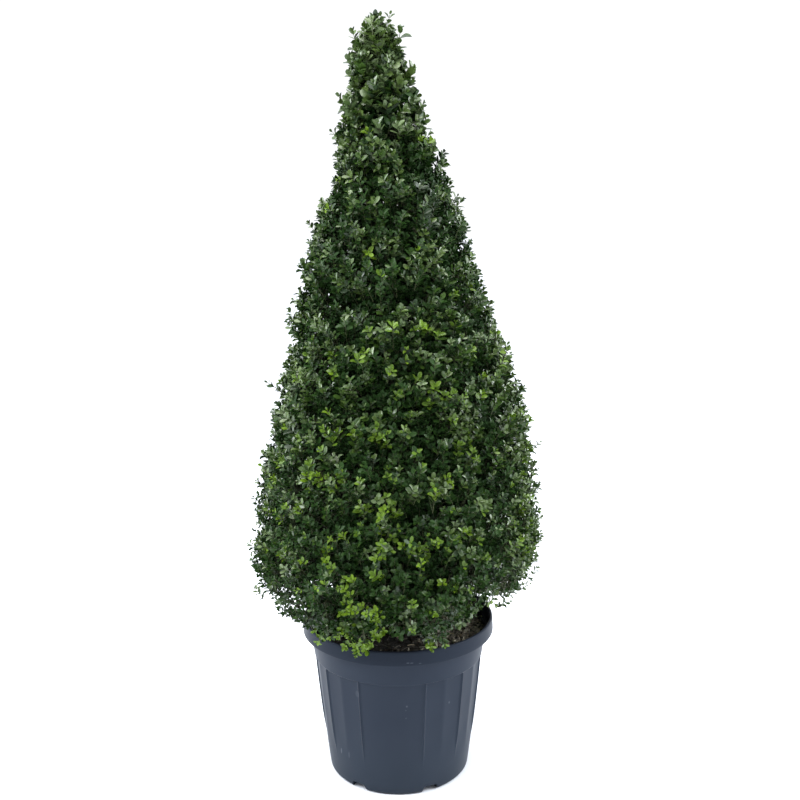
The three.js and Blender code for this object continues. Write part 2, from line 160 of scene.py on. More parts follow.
class Nodes:
    """A short way to write a material's nodes."""

    def __init__(self, name, specular=0.38):
        self.m = bpy.data.materials.new(name)
        self.m.use_nodes = True
        self.t = self.m.node_tree
        self.b = self.t.nodes["Principled BSDF"]
        self.b.inputs["Specular IOR Level"].default_value = specular
        self.place = self.t.nodes.new("ShaderNodeTexCoord").outputs["Object"]

    def link(self, a, b):
        self.t.links.new(a, b)

    def noise(self, scale, detail=3.0, rough=0.55, stretch=None):
        n = self.t.nodes.new("ShaderNodeTexNoise")
        n.inputs["Scale"].default_value = scale
        n.inputs["Detail"].default_value = detail
        n.inputs["Roughness"].default_value = rough
        if stretch:
            mp = self.t.nodes.new("ShaderNodeMapping")
            mp.inputs["Scale"].default_value = stretch
            self.link(self.place, mp.inputs["Vector"])
            self.link(mp.outputs[0], n.inputs["Vector"])
        else:
            self.link(self.place, n.inputs["Vector"])
        return n.outputs["Fac"]

    def ramp(self, fac, stops):
        r = self.t.nodes.new("ShaderNodeValToRGB")
        e = r.color_ramp.elements
        while len(e) < len(stops):
            e.new(0.5)
        for k, (p, c) in zip(e, stops):
            k.position = p
            k.color = (*c, 1) if len(c) == 3 else c
        self.link(fac, r.inputs["Fac"])
        return r.outputs["Color"]

    def math(self, op, a, b=None, clamp=False):
        n = self.t.nodes.new("ShaderNodeMath")
        n.operation = op
        n.use_clamp = clamp
        for i, v in enumerate((a, b)):
            if v is None:
                continue
            if isinstance(v, (int, float)):
                n.inputs[i].default_value = v
            else:
                self.link(v, n.inputs[i])
        return n.outputs[0]

    def mix(self, fac, a, b):
        n = self.t.nodes.new("ShaderNodeMix")
        n.data_type = "RGBA"
        if isinstance(fac, (int, float)):
            n.inputs["Factor"].default_value = fac
        else:
            self.link(fac, n.inputs["Factor"])
        for i, v in ((6, a), (7, b)):
            if isinstance(v, tuple):
                n.inputs[i].default_value = (*v, 1)
            else:
                self.link(v, n.inputs[i])
        return n.outputs[2]

    def bump(self, height, strength, distance, normal=None):
        n = self.t.nodes.new("ShaderNodeBump")
        n.inputs["Strength"].default_value = strength
        n.inputs["Distance"].default_value = distance
        self.link(height, n.inputs["Height"])
        if normal is not None:
            self.link(normal, n.inputs["Normal"])
        return n.outputs["Normal"]

    def out(self, color=None, rough=None, normal=None):
        if color is not None:
            self.link(color, self.b.inputs["Base Color"])
        if rough is not None:
            self.link(rough, self.b.inputs["Roughness"])
        if normal is not None:
            self.link(normal, self.b.inputs["Normal"])
        return self.m


# Leaves: one plain colour each, dealt out by spray.
LEAF = [
    plain("leaf_deep", (0.0145, 0.0390, 0.0086), 0.55, 0.12),
    plain("leaf_dark", (0.0190, 0.0490, 0.0092), 0.40, 0.20),
    plain("leaf_slate", (0.0270, 0.0490, 0.0210), 0.35, 0.38),
    plain("leaf_mid", (0.0350, 0.0735, 0.0110), 0.31, 0.40),
    plain("leaf_soft", (0.0560, 0.0970, 0.0260), 0.31, 0.48),
    plain("leaf_light", (0.0690, 0.1140, 0.0250), 0.30, 0.50),
    plain("leaf_fresh", (0.0800, 0.1480, 0.0125), 0.33, 0.36),
    # leaf_pale_sheen is painted sheen: a pale grey-green in place of the glossy leaves' reflection of the bright room.
    plain("leaf_pale_sheen", (0.1020, 0.1520, 0.0600), 0.32, 0.48),
    plain("leaf_lime", (0.1130, 0.1980, 0.0120), 0.34, 0.32),
]
DEEP, DARK, SLATE, MID, SOFT, LIGHT, FRESH, PALE_SHEEN, LIME = range(9)
# The two tones that a leaf here and there has in place of its spray's.
NEXT_TONE = np.array([(DARK, DEEP), (DEEP, MID), (DARK, SOFT), (DARK, LIGHT), (SLATE, PALE_SHEEN), (MID, PALE_SHEEN), (FRESH, LIME), (SOFT, LIGHT), (LIME, FRESH)])
stem_green = plain("stem_green", (0.060, 0.072, 0.026), 0.55, 0.4)
stem_tan = plain("stem_tan", (0.062, 0.074, 0.036), 0.70, 0.2)
branch_grey = plain("branch_grey", (0.105, 0.106, 0.074), 0.80, 0.15)
dead_tan = plain("dead_leaf_tan", (0.370, 0.345, 0.270), 0.75, 0.3)
dead_brown = plain("dead_leaf_brown", (0.190, 0.175, 0.135), 0.80, 0.3)
chip_dark = plain("chip_dark", (0.022, 0.016, 0.011), 0.90, 0.2)
chip_brown = plain("chip_brown", (0.095, 0.086, 0.068), 0.85, 0.25)
chip_pale = plain("chip_pale", (0.300, 0.255, 0.180), 0.80, 0.25)


def bark_material():
    n = Nodes("bark", specular=0.25)
    ridges = n.noise(70, 5, 0.6, stretch=(1, 1, 0.22))
    patches = n.noise(14, 3, 0.5)
    color = n.ramp(ridges, [(0.30, (0.055, 0.044, 0.028)), (0.50, (0.150, 0.126, 0.082)), (0.72, (0.270, 0.235, 0.160))])
    color = n.mix(n.math("MULTIPLY", patches, 0.45), color, (0.110, 0.120, 0.075))
    return n.out(color, n.ramp(ridges, [(0.3, (0.92,) * 3), (0.7, (0.75,) * 3)]), n.bump(ridges, 0.6, 0.002))


# Pale scuffs and specks on the container's front: x, z, half width, half height, strength.
MARKS = [(0.019, 0.249, 0.0024, 0.0028, 0.60), (0.0165, 0.2385, 0.0017, 0.0017, 0.35), (0.017, 0.217, 0.0024, 0.0024, 0.25),
         (0.1225, 0.236, 0.0024, 0.0036, 0.50), (-0.0995, 0.271, 0.0052, 0.0100, 0.26), (0.022, 0.377, 0.0040, 0.0017, 0.50),
         (0.031, 0.3765, 0.0045, 0.0015, 0.50), (0.0505, 0.374, 0.0036, 0.0014, 0.40), (-0.1445, 0.0885, 0.0019, 0.0090, 0.75),
         (-0.1245, 0.089, 0.0026, 0.0105, 0.32)]


def pot_material():
    """Slate-coloured moulded plastic with a fine grain and a few scuffs, a little lighter towards the foot, and its lip
    darkened as painted shade.
    """
    n = Nodes("pot_plastic", specular=0.05)
    n.b.inputs["Specular Tint"].default_value = (0.72, 0.82, 1.0, 1)
    cloud = n.noise(5.5, 3, 0.5)
    grain = n.noise(1500, 2, 0.5)
    rub = n.noise(24, 3, 0.6, stretch=(1, 1, 0.35))
    color = n.ramp(cloud, [(0.30, (0.0224, 0.0284, 0.0402)), (0.70, (0.0258, 0.0323, 0.0446))])
    split = n.t.nodes.new("ShaderNodeSeparateXYZ")
    n.link(n.place, split.inputs[0])
    x, y, z = split.outputs
    # Painted shade: the lip above 366 mm is darkened, in place of the shade that falls on it under the crown.
    lip_painted_shade = n.math("MULTIPLY", n.math("SUBTRACT", z, 0.366), 300.0, clamp=True)
    color = n.mix(n.math("MULTIPLY", lip_painted_shade, 0.80), color, (0.0150, 0.0194, 0.0282))
    # A little lighter towards the foot.
    low = n.math("SUBTRACT", 1.0, n.math("DIVIDE", z, 0.20), clamp=True)
    color = n.mix(n.math("MULTIPLY", low, 0.55), color, (0.0300, 0.0390, 0.0510))
    front = n.math("LESS_THAN", y, 0.0)
    for cx, cz, wx, wz, strength in MARKS:
        dx = n.math("POWER", n.math("ABSOLUTE", n.math("DIVIDE", n.math("SUBTRACT", x, cx), wx)), 2.0)
        dz = n.math("POWER", n.math("ABSOLUTE", n.math("DIVIDE", n.math("SUBTRACT", z, cz), wz)), 2.0)
        spot = n.math("MULTIPLY", n.math("SUBTRACT", 1.0, n.math("ADD", dx, dz), clamp=True), 2.0, clamp=True)
        color = n.mix(n.math("MULTIPLY", n.math("MULTIPLY", spot, front), strength), color, (0.085, 0.096, 0.115))
    rough = n.ramp(rub, [(0.30, (0.37,) * 3), (0.75, (0.43,) * 3)])
    normal = n.bump(grain, 0.06, 0.0003)
    normal = n.bump(cloud, 0.25, 0.004, normal)
    return n.out(color, rough, normal)


def soil_material():
    n = Nodes("compost", specular=0.3)
    crumbs = n.noise(190, 5, 0.65)
    patch = n.noise(16, 3, 0.5)
    color = n.ramp(crumbs, [(0.30, (0.0075, 0.0076, 0.0064)), (0.50, (0.044, 0.042, 0.034)), (0.72, (0.150, 0.142, 0.115))])
    color = n.mix(n.ramp(patch, [(0.4, (0, 0, 0)), (0.7, (0.6,) * 3)]), color, (0.050, 0.045, 0.036))
    # Painted shade: the compost is darkened but for the right-hand side, in place of the shade that falls on it.
    split = n.t.nodes.new("ShaderNodeSeparateXYZ")
    n.link(n.place, split.inputs[0])
    painted_shade = n.math("DIVIDE", n.math("SUBTRACT", 0.075, split.outputs[0]), 0.05, clamp=True)
    color = n.mix(n.math("MULTIPLY", painted_shade, 0.72), color, (0.0085, 0.0085, 0.0075))
    return n.out(color, n.ramp(patch, [(0.4, (0.85,) * 3), (0.7, (0.95,) * 3)]), n.bump(crumbs, 0.8, 0.003))


bark = bark_material()


# ------------------------------------------------------------- mesh makers
def mesh_piece(name, verts, polys, materials, index=None, smoothed=True, body="root"):
    """An object from arrays: polys is (n, 3) or (n, 4)."""
    me = bpy.data.meshes.new(name)
    polys = np.asarray(polys)
    k = polys.shape[1]
    me.vertices.add(len(verts))
    me.vertices.foreach_set("co", np.asarray(verts, np.float32).ravel())
    me.loops.add(len(polys) * k)
    me.loops.foreach_set("vertex_index", polys.astype(np.int32).ravel())
    me.polygons.add(len(polys))
    me.polygons.foreach_set("loop_start", np.arange(len(polys), dtype=np.int32) * k)
    for m in materials:
        me.materials.append(m)
    if index is not None:
        me.polygons.foreach_set("material_index", np.asarray(index, np.int32))
    me.polygons.foreach_set("use_smooth", np.full(len(polys), smoothed))
    me.update(calc_edges=True)
    me.validate()
    o = bpy.data.objects.new(name, me)
    bpy.context.scene.collection.objects.link(o)
    if body:
        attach(o, body)
    return o


def tubes(paths, radii, sides, closed_tip=True):
    """Tubes along many paths at once: paths (n, k, 3), radii (n, k). Returns verts and triangles."""
    paths = np.asarray(paths, float)
    radii = np.asarray(radii, float)
    n, k, _ = paths.shape
    tang = np.gradient(paths, axis=1)
    tang = unit(tang)
    ref = np.where(np.abs(tang[:, :1, 2:3]) > 0.9, np.array([1.0, 0, 0]), np.array([0, 0, 1.0]))
    u = unit(np.cross(tang, np.broadcast_to(ref, tang.shape)))
    v = np.cross(tang, u)
    w = np.arange(sides) * 2 * math.pi / sides
    ring = (paths[:, :, None, :] + radii[:, :, None, None]
            * (np.cos(w)[:, None] * u[:, :, None, :] + np.sin(w)[:, None] * v[:, :, None, :]))
    verts = ring.reshape(-1, 3)
    i = np.arange(k - 1)[:, None] * sides
    a = i + np.arange(sides)[None]
    b = i + (np.arange(sides)[None] + 1) % sides
    quad = np.stack([a, b, b + sides, a + sides], -1).reshape(-1, 4)
    tri = np.concatenate([quad[:, [0, 1, 2]], quad[:, [0, 2, 3]]])
    if closed_tip and sides == 3:
        last = (k - 1) * 3
        tri = np.concatenate([tri, [[last, last + 1, last + 2]]])
    tris = (tri[None] + (np.arange(n) * k * sides)[:, None, None]).reshape(-1, 3)
    return verts, tris


def bezier(a, b, c, d, k):
    t = np.linspace(0, 1, k)[None, :, None]
    a, b, c, d = (x[:, None, :] for x in (a, b, c, d))
    return (1 - t)**3 * a + 3 * (1 - t)**2 * t * b + 3 * (1 - t) * t**2 * c + t**3 * d


def scatter(points, gap):
    """Indices of points kept at least gap apart, in the order given."""
    keep, cells = [], {}
    gap2 = gap * gap
    keys = np.floor(points / gap).astype(int).tolist()
    pts = points.tolist()
    around = [(i, j, k) for i in (-1, 0, 1) for j in (-1, 0, 1) for k in (-1, 0, 1)]
    for i, (kx, ky, kz) in enumerate(keys):
        x, y, z = pts[i]
        free = True
        for dx, dy, dz in around:
            for (px, py, pz) in cells.get((kx + dx, ky + dy, kz + dz), ()):
                if (x - px)**2 + (y - py)**2 + (z - pz)**2 < gap2:
                    free = False
                    break
            if not free:
                break
        if free:
            keep.append(i)
            cells.setdefault((kx, ky, kz), []).append((x, y, z))
    return np.array(keep, int)


def nearest(points, to, chunk=2000):
    """Index of the nearest of `to` for each point, and its distance."""
    idx, dist = [], []
    for s in range(0, len(points), chunk):
        d = ((points[s:s + chunk, None, :] - to[None])**2).sum(-1)
        j = d.argmin(1)
        idx.append(j)
        dist.append(np.sqrt(d[np.arange(len(j)), j]))
    return np.concatenate(idx), np.concatenate(dist)


# ------------------------------------------------------- container, in full
FOOT_R, BODY_TOP_R, COLLAR_Z = 177.5, 210.5, 306.0
PLAIN_PANEL, FLUTES = 45.0, 9      # nine flat panels on each side
RAISED = (0, 2, 4, 5, 7, 9)        # corners that carry a thin raised line
SPAN = (180 - PLAIN_PANEL) / FLUTES
TURN = -4.75


def build_pot():
    cols, crests = [], []
    for base in (0, 180):
        cols += [base - PLAIN_PANEL / 2 + PLAIN_PANEL * i / 36 for i in range(1, 36)]
        cols += [base + PLAIN_PANEL / 2 + SPAN * i / 10 for i in range(FLUTES * 10 + 1) if i / 10 not in RAISED]
        crests += [base + PLAIN_PANEL / 2 + SPAN * i for i in RAISED]
    cols += [c + w for c in crests for w in (-1.35, -0.9, -0.45, 0, 0.45, 0.9, 1.35)]
    cols = np.sort(np.array(cols) % 360)
    a = cols % 180
    a = np.where(a > 180 - PLAIN_PANEL / 2, a - 180, a)
    t = ((a - PLAIN_PANEL / 2) / SPAN) % 1
    # Flat panels, each second corner between them a little lower than the rest.
    corner = (a - PLAIN_PANEL / 2) / SPAN
    even = np.abs(((np.minimum(np.minimum(corner, FLUTES - corner), 4) + 1) % 2) - 1)
    share = np.where(a < PLAIN_PANEL / 2 - 1e-6, 0, 1 - (2 * t - 1)**2 + 0.35 * even)
    off = np.min([np.abs((cols - c + 180) % 360 - 180) for c in crests], axis=0)
    share = share - 1.20 * np.exp(-(off / 0.62)**2)      # a narrow bead along each crest

    def body(z):
        s = np.clip(z / COLLAR_Z, 0, 1)
        return FOOT_R + (BODY_TOP_R - FOOT_R) * s + 1.5 * 4 * s * (1 - s)

    def depth(z):
        return 2.4 * float(smooth(62, 150, z))

    prof = [(0, FOOT_R - 6.5, 0), (0.5, FOOT_R - 5.0, 0), (1.8, FOOT_R - 3.0, 0), (3.6, FOOT_R - 1.3, 0), (6, body(6) - 0.4, 0)]
    prof += [(z, body(z), depth(z)) for z in list(np.arange(10, 64, 9.0)) + list(np.arange(64, 150, 6.0)) + list(np.arange(150, 298, 12.0))]
    prof += [(300, body(300), 2.4), (303.0, body(303), 2.3), (304.4, body(304) + 0.1, 1.6), (305.4, 211.2, 0.4),
             (305.9, 212.2, 0), (306.3, 213.3, 0), (307.1, 214.0, 0), (308.4, 214.4, 0), (311, 214.7, 0)]
    prof += [(z, 214.7 + (223.0 - 214.7) * (z - 311) / 52.0, 0) for z in (320, 332, 344, 355, 362)]
    prof += [(365.5, 223.6, 0), (367.2, 224.6, 0), (368.0, 226.6, 0), (368.1, 232.0, 0), (368.0, 239.6, 0), (368.3, 240.9, 0),
             (369.0, 241.4, 0), (371, 241.6, 0), (377, 241.5, 0), (386, 240.9, 0), (395, 240.3, 0), (399.5, 240.0, 0),
             (401.8, 239.4, 0), (403.2, 238.4, 0), (403.9, 237.0, 0), (404, 235.8, 0), (403.7, 234.5, 0), (402.8, 233.5, 0),
             (401.2, 232.9, 0), (397, 232.6, 0), (388, 232.3, 0), (378, 232.1, 0), (372, 231.2, 0), (368.4, 228.2, 0),
             (365.6, 222.6, 0), (363, 219.6, 0), (352, 217.6, 0), (330, 213.8, 0), (311, 210.6, 0)]
    prof += [(z, body(z) - 3.2, depth(z)) for z in (302, 250, 200, 150, 100, 70, 40)]
    prof += [(25, body(25) - 5.0, 0), (25, 152, 0), (5, 120, 0)]
    prof = np.array(prof)
    ang = np.radians(cols + TURN) - math.pi / 2
    r = prof[:, 1:2] - prof[:, 2:3] * share[None]
    z = np.broadcast_to(prof[:, 0:1], r.shape)
    ring = np.stack([r * np.cos(ang), r * np.sin(ang), z], -1) * MM
    n, k = len(prof), len(cols)
    verts = np.concatenate([[[0, 0, 0]], ring.reshape(-1, 3), [[0, 0, 0.005]]])
    i = 1 + np.arange(n - 1)[:, None] * k
    p = i + np.arange(k)[None]
    q = i + (np.arange(k)[None] + 1) % k
    quads = np.stack([p, q, q + k, p + k], -1).reshape(-1, 4)
    tris = np.concatenate([quads[:, [0, 1, 2]], quads[:, [0, 2, 3]]])
    c = np.arange(k)
    foot = np.stack([np.zeros(k, int), 1 + (c + 1) % k, 1 + c], -1)
    top = 1 + (n - 1) * k
    floor_ = np.stack([np.full(k, len(verts) - 1), top + c, top + (c + 1) % k], -1)
    tris = np.concatenate([foot, tris, floor_])
    o = mesh_piece("container", verts, tris, [pot_material()], body=None)
    # Drain notches: six wedges cut from under the foot, with slightly rounded shoulders.
    cut_v, cut_f = [], []
    for s in range(6):
        d = math.radians(30 + 60 * s + TURN) - math.pi / 2
        out = np.array([math.cos(d), math.sin(d), 0])
        across = np.array([-out[1], out[0], 0])
        outline = [(-21, -2), (-20.2, 8), (-18.8, 14.2), (-16.4, 16.8), (16.4, 16.8), (18.8, 14.2), (20.2, 8), (21, -2)]
        base = len(cut_v)
        for reach, drop in ((190.0, 0.0), (127.0, 1.0)):
            for w, h in outline:
                hh = h + 2.6 if not drop else -2 + (h + 2) * 0.06
                cut_v.append((out * reach + across * w) * MM + np.array([0, 0, hh * MM]))
        m = len(outline)
        for j in range(m):
            j2 = (j + 1) % m
            cut_f += [(base + j, base + j2, base + m + j2, base + m + j)]
        cut_f += [tuple(base + j for j in range(m))[::-1], tuple(base + m + j for j in range(m))]
    cm = bpy.data.meshes.new("cut")
    cm.from_pydata([tuple(v) for v in cut_v], [], cut_f)
    cm.update()
    cutter = bpy.data.objects.new("cut", cm)
    bpy.context.scene.collection.objects.link(cutter)
    import bmesh
    bm = bmesh.new()
    bm.from_mesh(cm)
    bmesh.ops.recalc_face_normals(bm, faces=bm.faces)
    bm.to_mesh(cm)
    bm.free()
    mod = o.modifiers.new("notches", "BOOLEAN")
    mod.operation, mod.solver, mod.object = "DIFFERENCE", "EXACT", cutter
    dg = bpy.context.evaluated_depsgraph_get()
    done = bpy.data.meshes.new_from_object(o.evaluated_get(dg))
    o.modifiers.clear()
    old = o.data
    o.data = done
    bpy.data.meshes.remove(old)
    bpy.data.objects.remove(cutter)
    o.data.polygons.foreach_set("use_smooth", np.ones(len(o.data.polygons), bool))
    o.data.set_sharp_from_angle(angle=math.radians(34))
    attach(o, "root")
    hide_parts("pot")
    return o


build_pot()


# -------------------------------------------------------------- compost
def soil_height(x, y):
    r = math.hypot(x, y)
    v = Vector((x, y, 0.3))
    h = 0.3675 + 0.0035 * noise.noise(v * 14) + 0.0022 * noise.noise(v * 52 + Vector((3, 1, 7)))
    h += 0.0016 * abs(noise.noise(v * 160)) + 0.004 * max(0.0, 1 - r / 0.12) - 0.002 * max(0.0, (r - 0.18) / 0.04)
    return h


def build_soil():
    k, rings = 220, 64
    radii = np.concatenate([np.linspace(0.004, 0.2185, rings)])
    a = np.arange(k) * 2 * math.pi / k
    verts = [[0, 0, soil_height(0, 0)]]
    for r in radii:
        for t in a:
            x, y = r * math.cos(t), r * math.sin(t)
            verts.append([x, y, soil_height(x, y)])
    for z, r in ((0.345, 0.2150), (0.311, 0.2085), (0.300, 0.2010), (0.150, 0.1875), (0.072, 0.1790), (0.027, 0.1710), (0.026, 0.1520), (0.0066, 0.1190)):
        for t in a:
            verts.append([r * math.cos(t), r * math.sin(t), z])
    verts.append([0, 0, 0.0066])
    total = rings + 8
    i = 1 + np.arange(total - 1)[:, None] * k
    p = i + np.arange(k)[None]
    q = i + (np.arange(k)[None] + 1) % k
    quads = np.stack([p, p + k, q + k, q], -1).reshape(-1, 4)
    tris = np.concatenate([quads[:, [0, 1, 2]], quads[:, [0, 2, 3]]])
    c = np.arange(k)
    first = np.stack([np.zeros(k, int), 1 + c, 1 + (c + 1) % k], -1)
    top = 1 + (total - 1) * k
    last = np.stack([np.full(k, len(verts) - 1), top + (c + 1) % k, top + c], -1)
    o = mesh_piece("compost", np.array(verts), np.concatenate([first, tris, last]), [soil_material()])
    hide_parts("soil")


build_soil()


# ------------------------------------------------------- trunk and boughs
def limb_skin(spine, radius, sides, ridges, seed, ribs=None):
    """A closed skin along a spine (k, 3) with radius (k,) and bark ridges. Returns verts and triangles."""
    k = len(spine)
    tang = unit(np.gradient(spine, axis=0))
    ref = np.array([1.0, 0, 0]) if abs(tang[0, 2]) > 0.7 else np.array([0, 0, 1.0])
    u = unit(np.cross(tang, ref))
    v = np.cross(tang, u)
    w = np.arange(sides) * 2 * math.pi / sides
    length = np.concatenate([[0], np.cumsum(np.linalg.norm(np.diff(spine, axis=0), axis=1))])
    verts = []
    for i in range(k):
        for j in range(sides):
            d = math.cos(w[j]) * u[i] + math.sin(w[j]) * v[i]
            p = Vector((math.cos(w[j]) * 1.6, math.sin(w[j]) * 1.6, length[i] * 14 + seed))
            relief = ridges * (0.9 * noise.noise(p * 1.9) + 0.5 * abs(noise.noise(Vector((p.x * 4.2, p.y * 4.2, p.z * 0.9)))))
            r = radius[i] * (1 + relief) * (ribs(w[j], i) if ribs else 1)
            verts.append(spine[i] + d * r)
    verts.append(spine[0])
    verts.append(spine[-1])
    ii = np.arange(k - 1)[:, None] * sides
    a = ii + np.arange(sides)[None]
    b = ii + (np.arange(sides)[None] + 1) % sides
    quad = np.stack([a, b, b + sides, a + sides], -1).reshape(-1, 4)
    tris = np.concatenate([quad[:, [0, 1, 2]], quad[:, [0, 2, 3]]])
    c = np.arange(sides)
    n = k * sides
    tris = np.concatenate([tris, np.stack([np.full(sides, n), (c + 1) % sides, c], -1),
                           np.stack([np.full(sides, n + 1), n - sides + c, n - sides + (c + 1) % sides], -1)])
    return np.array(verts), tris


def build_trunk():
    z = np.concatenate([np.linspace(TRUNK_Z0 - 0.0035, 0.46, 34), np.linspace(0.465, TRUNK_TOP, 150)])
    sp = heart(z)
    up = np.clip(1 - (z - TRUNK_Z0) / 0.07, 0, 1)
    ribs = lambda a, i: 1 + 0.10 * up[i] * math.cos(5 * a + 0.8) - 0.07 * up[i]
    v, t = limb_skin(sp, trunk_radius(np.maximum(z, TRUNK_Z0)), 30, 0.05, 2.0, ribs)
    o = mesh_piece("trunk_bark", v, t, [bark])
    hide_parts("trunk")


build_trunk()

BOUGHS = [
    ("bough_back", 92, 436, 0.50, 9), ("bough_left", 166, 418, 0.34, 10),
    ("bough_front_left", 231, 452, 0.46, 8.5), ("bough_front", 292, 428, 0.38, 9.5),
    ("bough_right", 8, 444, 0.62, 9), ("bough_high_back_right", 58, 604, 1.35, 8),
    ("bough_high_back_left", 142, 572, 1.5, 8), ("bough_high_front_left", 214, 590, 1.3, 7.5),
    ("bough_high_front_right", 318, 616, 1.45, 8),
]
core = curve_through([[400, 150], [560, 120], [700, 92], [900, 58], [1060, 20]])


def core_radius(z):
    return np.maximum(np.where(np.asarray(z) < 1.06, core(z), 0), trunk_radius(z) + 0.0018)


def build_boughs():
    """The main boughs, along the same lines as the construction's."""
    all_v, all_t, ends, base = [], [], [], 0
    for name, deg, z0, rise, r0 in BOUGHS:
        a = math.radians(deg)
        out = np.array([math.cos(a), math.sin(a), 0])
        across = np.array([-out[1], out[0], 0])
        root = heart(z0 * MM)

        def spine(t, reach):
            t = np.asarray(t, float)[..., None]
            return (root + out * t * reach + np.array([0, 0, 1.0]) * rise * reach * (t + 0.22 * np.sin(math.pi * t))
                    + across * 0.005 * (np.sin(2.4 * t + deg) - math.sin(deg)))

        reach = 0.15
        for _ in range(30):
            end = spine(1.0, reach).reshape(3)
            h = heart(end[2])
            reach = min(max(reach + float(core_radius(end[2])) - 0.006 - math.hypot(end[0] - h[0], end[1] - h[1]), 0.02), 0.22)
        t = np.linspace(0.10, 1, 30)
        sp = spine(t, reach)
        rad = r0 * MM * (1 + 0.35 * (1 - t)**6) * (1 - 0.4 * t)
        v, f = limb_skin(sp, rad, 14, 0.06, deg * 0.37)
        all_v.append(v)
        all_t.append(f + base)
        base += len(v)
        ends.append((sp[-1], unit(sp[-1] - sp[-3]), rad[-1]))
    o = mesh_piece("boughs_bark", np.concatenate(all_v), np.concatenate(all_t), [bark])
    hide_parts(*[b[0] for b in BOUGHS])
    return ends


bough_ends = build_boughs()


# ------------------------------------------------------------ crown skin
def on_face(count):
    """Random points on the clipped face: angle, height, point and outward normal."""
    z = np.linspace(0.410, PLANT_TOP, 900)
    r = crown_half(z)
    slope = np.gradient(r, z)
    area = np.maximum(r, 0.004) * np.sqrt(1 + slope**2)
    cdf = np.cumsum(area)
    cdf = (cdf - cdf[0]) / (cdf[-1] - cdf[0])
    zz = np.interp(rng.random(count), cdf, z)
    aa = rng.random(count) * 2 * math.pi
    return face(aa, zz)


def face(a, z):
    r = crown_radius(a, z)
    h = heart(z)
    p = h + np.stack([r * np.cos(a), r * np.sin(a), np.zeros_like(r)], -1)
    e = 0.006
    dr = (crown_radius(a, np.minimum(z + e, PLANT_TOP)) - crown_radius(a, z - e)) / (2 * e)
    dr = np.clip(dr, -3.5, 3.5)
    n = unit(np.stack([np.cos(a), np.sin(a), -dr], -1))
    return a, z, p, n


def under_face(count):
    """Random points on the crown's underside, between its core and its edge."""
    a = rng.random(count) * 2 * math.pi
    lv = skirt_level(a)
    edge = crown_radius(a, np.maximum(lv, 0.41)) - 0.012
    r = np.sqrt(rng.random(count) * (edge**2 - 0.10**2) + 0.10**2)
    drop = np.interp(np.degrees(a), SKIRT_DROP[:, 0], SKIRT_DROP[:, 1]) * smooth(0, 0.10, edge - r)
    z = np.maximum(lv + 0.018 * (1 - r / edge) - drop, 0.402) + 0.010 * rng.random(count)
    h = heart(z)
    p = h + np.stack([r * np.cos(a), r * np.sin(a), np.zeros_like(r)], -1)
    n = np.tile(np.array([0, 0, -1.0]), (count, 1)) + 0.35 * np.stack([np.cos(a), np.sin(a), np.zeros_like(r)], -1)
    return a, z, p, unit(n)


a0, z0, p0, n0 = on_face(60000)
keep = z0 > skirt_level(a0)
a0, z0, p0, n0 = a0[keep], z0[keep], p0[keep], n0[keep]
au, zu, pu, nu = under_face(7000)

# Branch ends: the crown is made of tufts, each fed by one branch.
tuft_gap = 0.040
pick = scatter(np.concatenate([p0[:9000], pu[:1200]]), tuft_gap)
tuft_p = np.concatenate([p0[:9000], pu[:1200]])[pick]
tuft_n = np.concatenate([n0[:9000], nu[:1200]])[pick]
tuft_swell = rng.normal(0, 0.0045, len(tuft_p))
tuft_tone = rng.random(len(tuft_p))

# Shoot tips.
s0 = scatter(p0[::-1], 0.0144)
s0 = len(p0) - 1 - s0
su = scatter(pu, 0.0200)
tips = np.concatenate([p0[s0], pu[su]])
tipn = np.concatenate([n0[s0], nu[su]])
tipa = np.concatenate([a0[s0], au[su]])
is_under = np.concatenate([np.zeros(len(s0), bool), np.ones(len(su), bool)])
owner, dist = nearest(tips, tuft_p)

# A spray that stands clear of the face here and there.
up = np.array([0, 0, 1.0])
radial = np.stack([np.cos(tipa), np.sin(tipa), np.zeros(len(tipa))], -1)
height = tips[:, 2]
room = np.clip(crown_half(height) / 0.12, 0.25, 1)      # less depth near the narrow top
sink = 0.020 * (dist / 0.026)**2 * rng.uniform(0.35, 1.3, len(tips)) + rng.normal(0, 0.0040, len(tips))
hollow = np.array([noise.noise(Vector(p) * 15.0 + Vector((2, 8, 4))) for p in tips.tolist()])
sink += 0.050 * np.clip(-hollow - 0.06, 0, 0.4)
sink = np.clip(sink, -0.004, 0.045) - tuft_swell[owner]
proud = (rng.random(len(tips)) < 0.060) & ~is_under & (height < 1.70)
sink = np.where(proud, -rng.uniform(0.003, 0.016, len(tips)), sink)
flank = np.cos(tipa - 3.3).clip(0, 1)**3 * smooth(1.05, 0.85, height) + 0.7 * np.cos(tipa).clip(0, 1)**3 * smooth(0.85, 0.70, height)
inset = 0.0065 - 0.0045 * smooth(0.85, 1.25, height) - 0.0095 * flank
inset = np.where(is_under, 0.008, inset) + 0.022 * smooth(1.74, 1.83, height)
HOLLOWS = [(4, 1.492, 34, 0.014, 0.018), (176, 1.462, 30, 0.018, 0.020), (183, 1.700, 40, 0.030, 0.020)]
for hd, hh, wd, wh, deep_ in HOLLOWS:
    away = (np.degrees(tipa) - hd + 180) % 360 - 180
    sink += deep_ * np.exp(-(away / wd)**2 - ((height - hh) / wh)**2) / room
sunk = sink * room
tips = tips - tipn * (sunk + inset * room)[:, None]

# The crown is thin and twiggy low on its right-hand front.
def thin(a, z):
    deg = np.degrees(a) % 360
    return np.exp(-((deg - 320) / 24)**2 - ((z - 0.535) / 0.055)**2)


# Where the crown lies in shade low on the right-hand front and the left-hand front: fewer, smaller leaves and fewer
# fresh sprays there, and slate and dark tones as painted shade.
def gloom(a, z):
    away = (np.degrees(a) - 308 + 180) % 360 - 180
    other = (np.degrees(a) - 220 + 180) % 360 - 180
    return np.maximum(np.exp(-(away / 28)**2) * smooth(0.64, 0.54, z), 0.95 * np.exp(-(other / 20)**2) * smooth(0.64, 0.56, z))


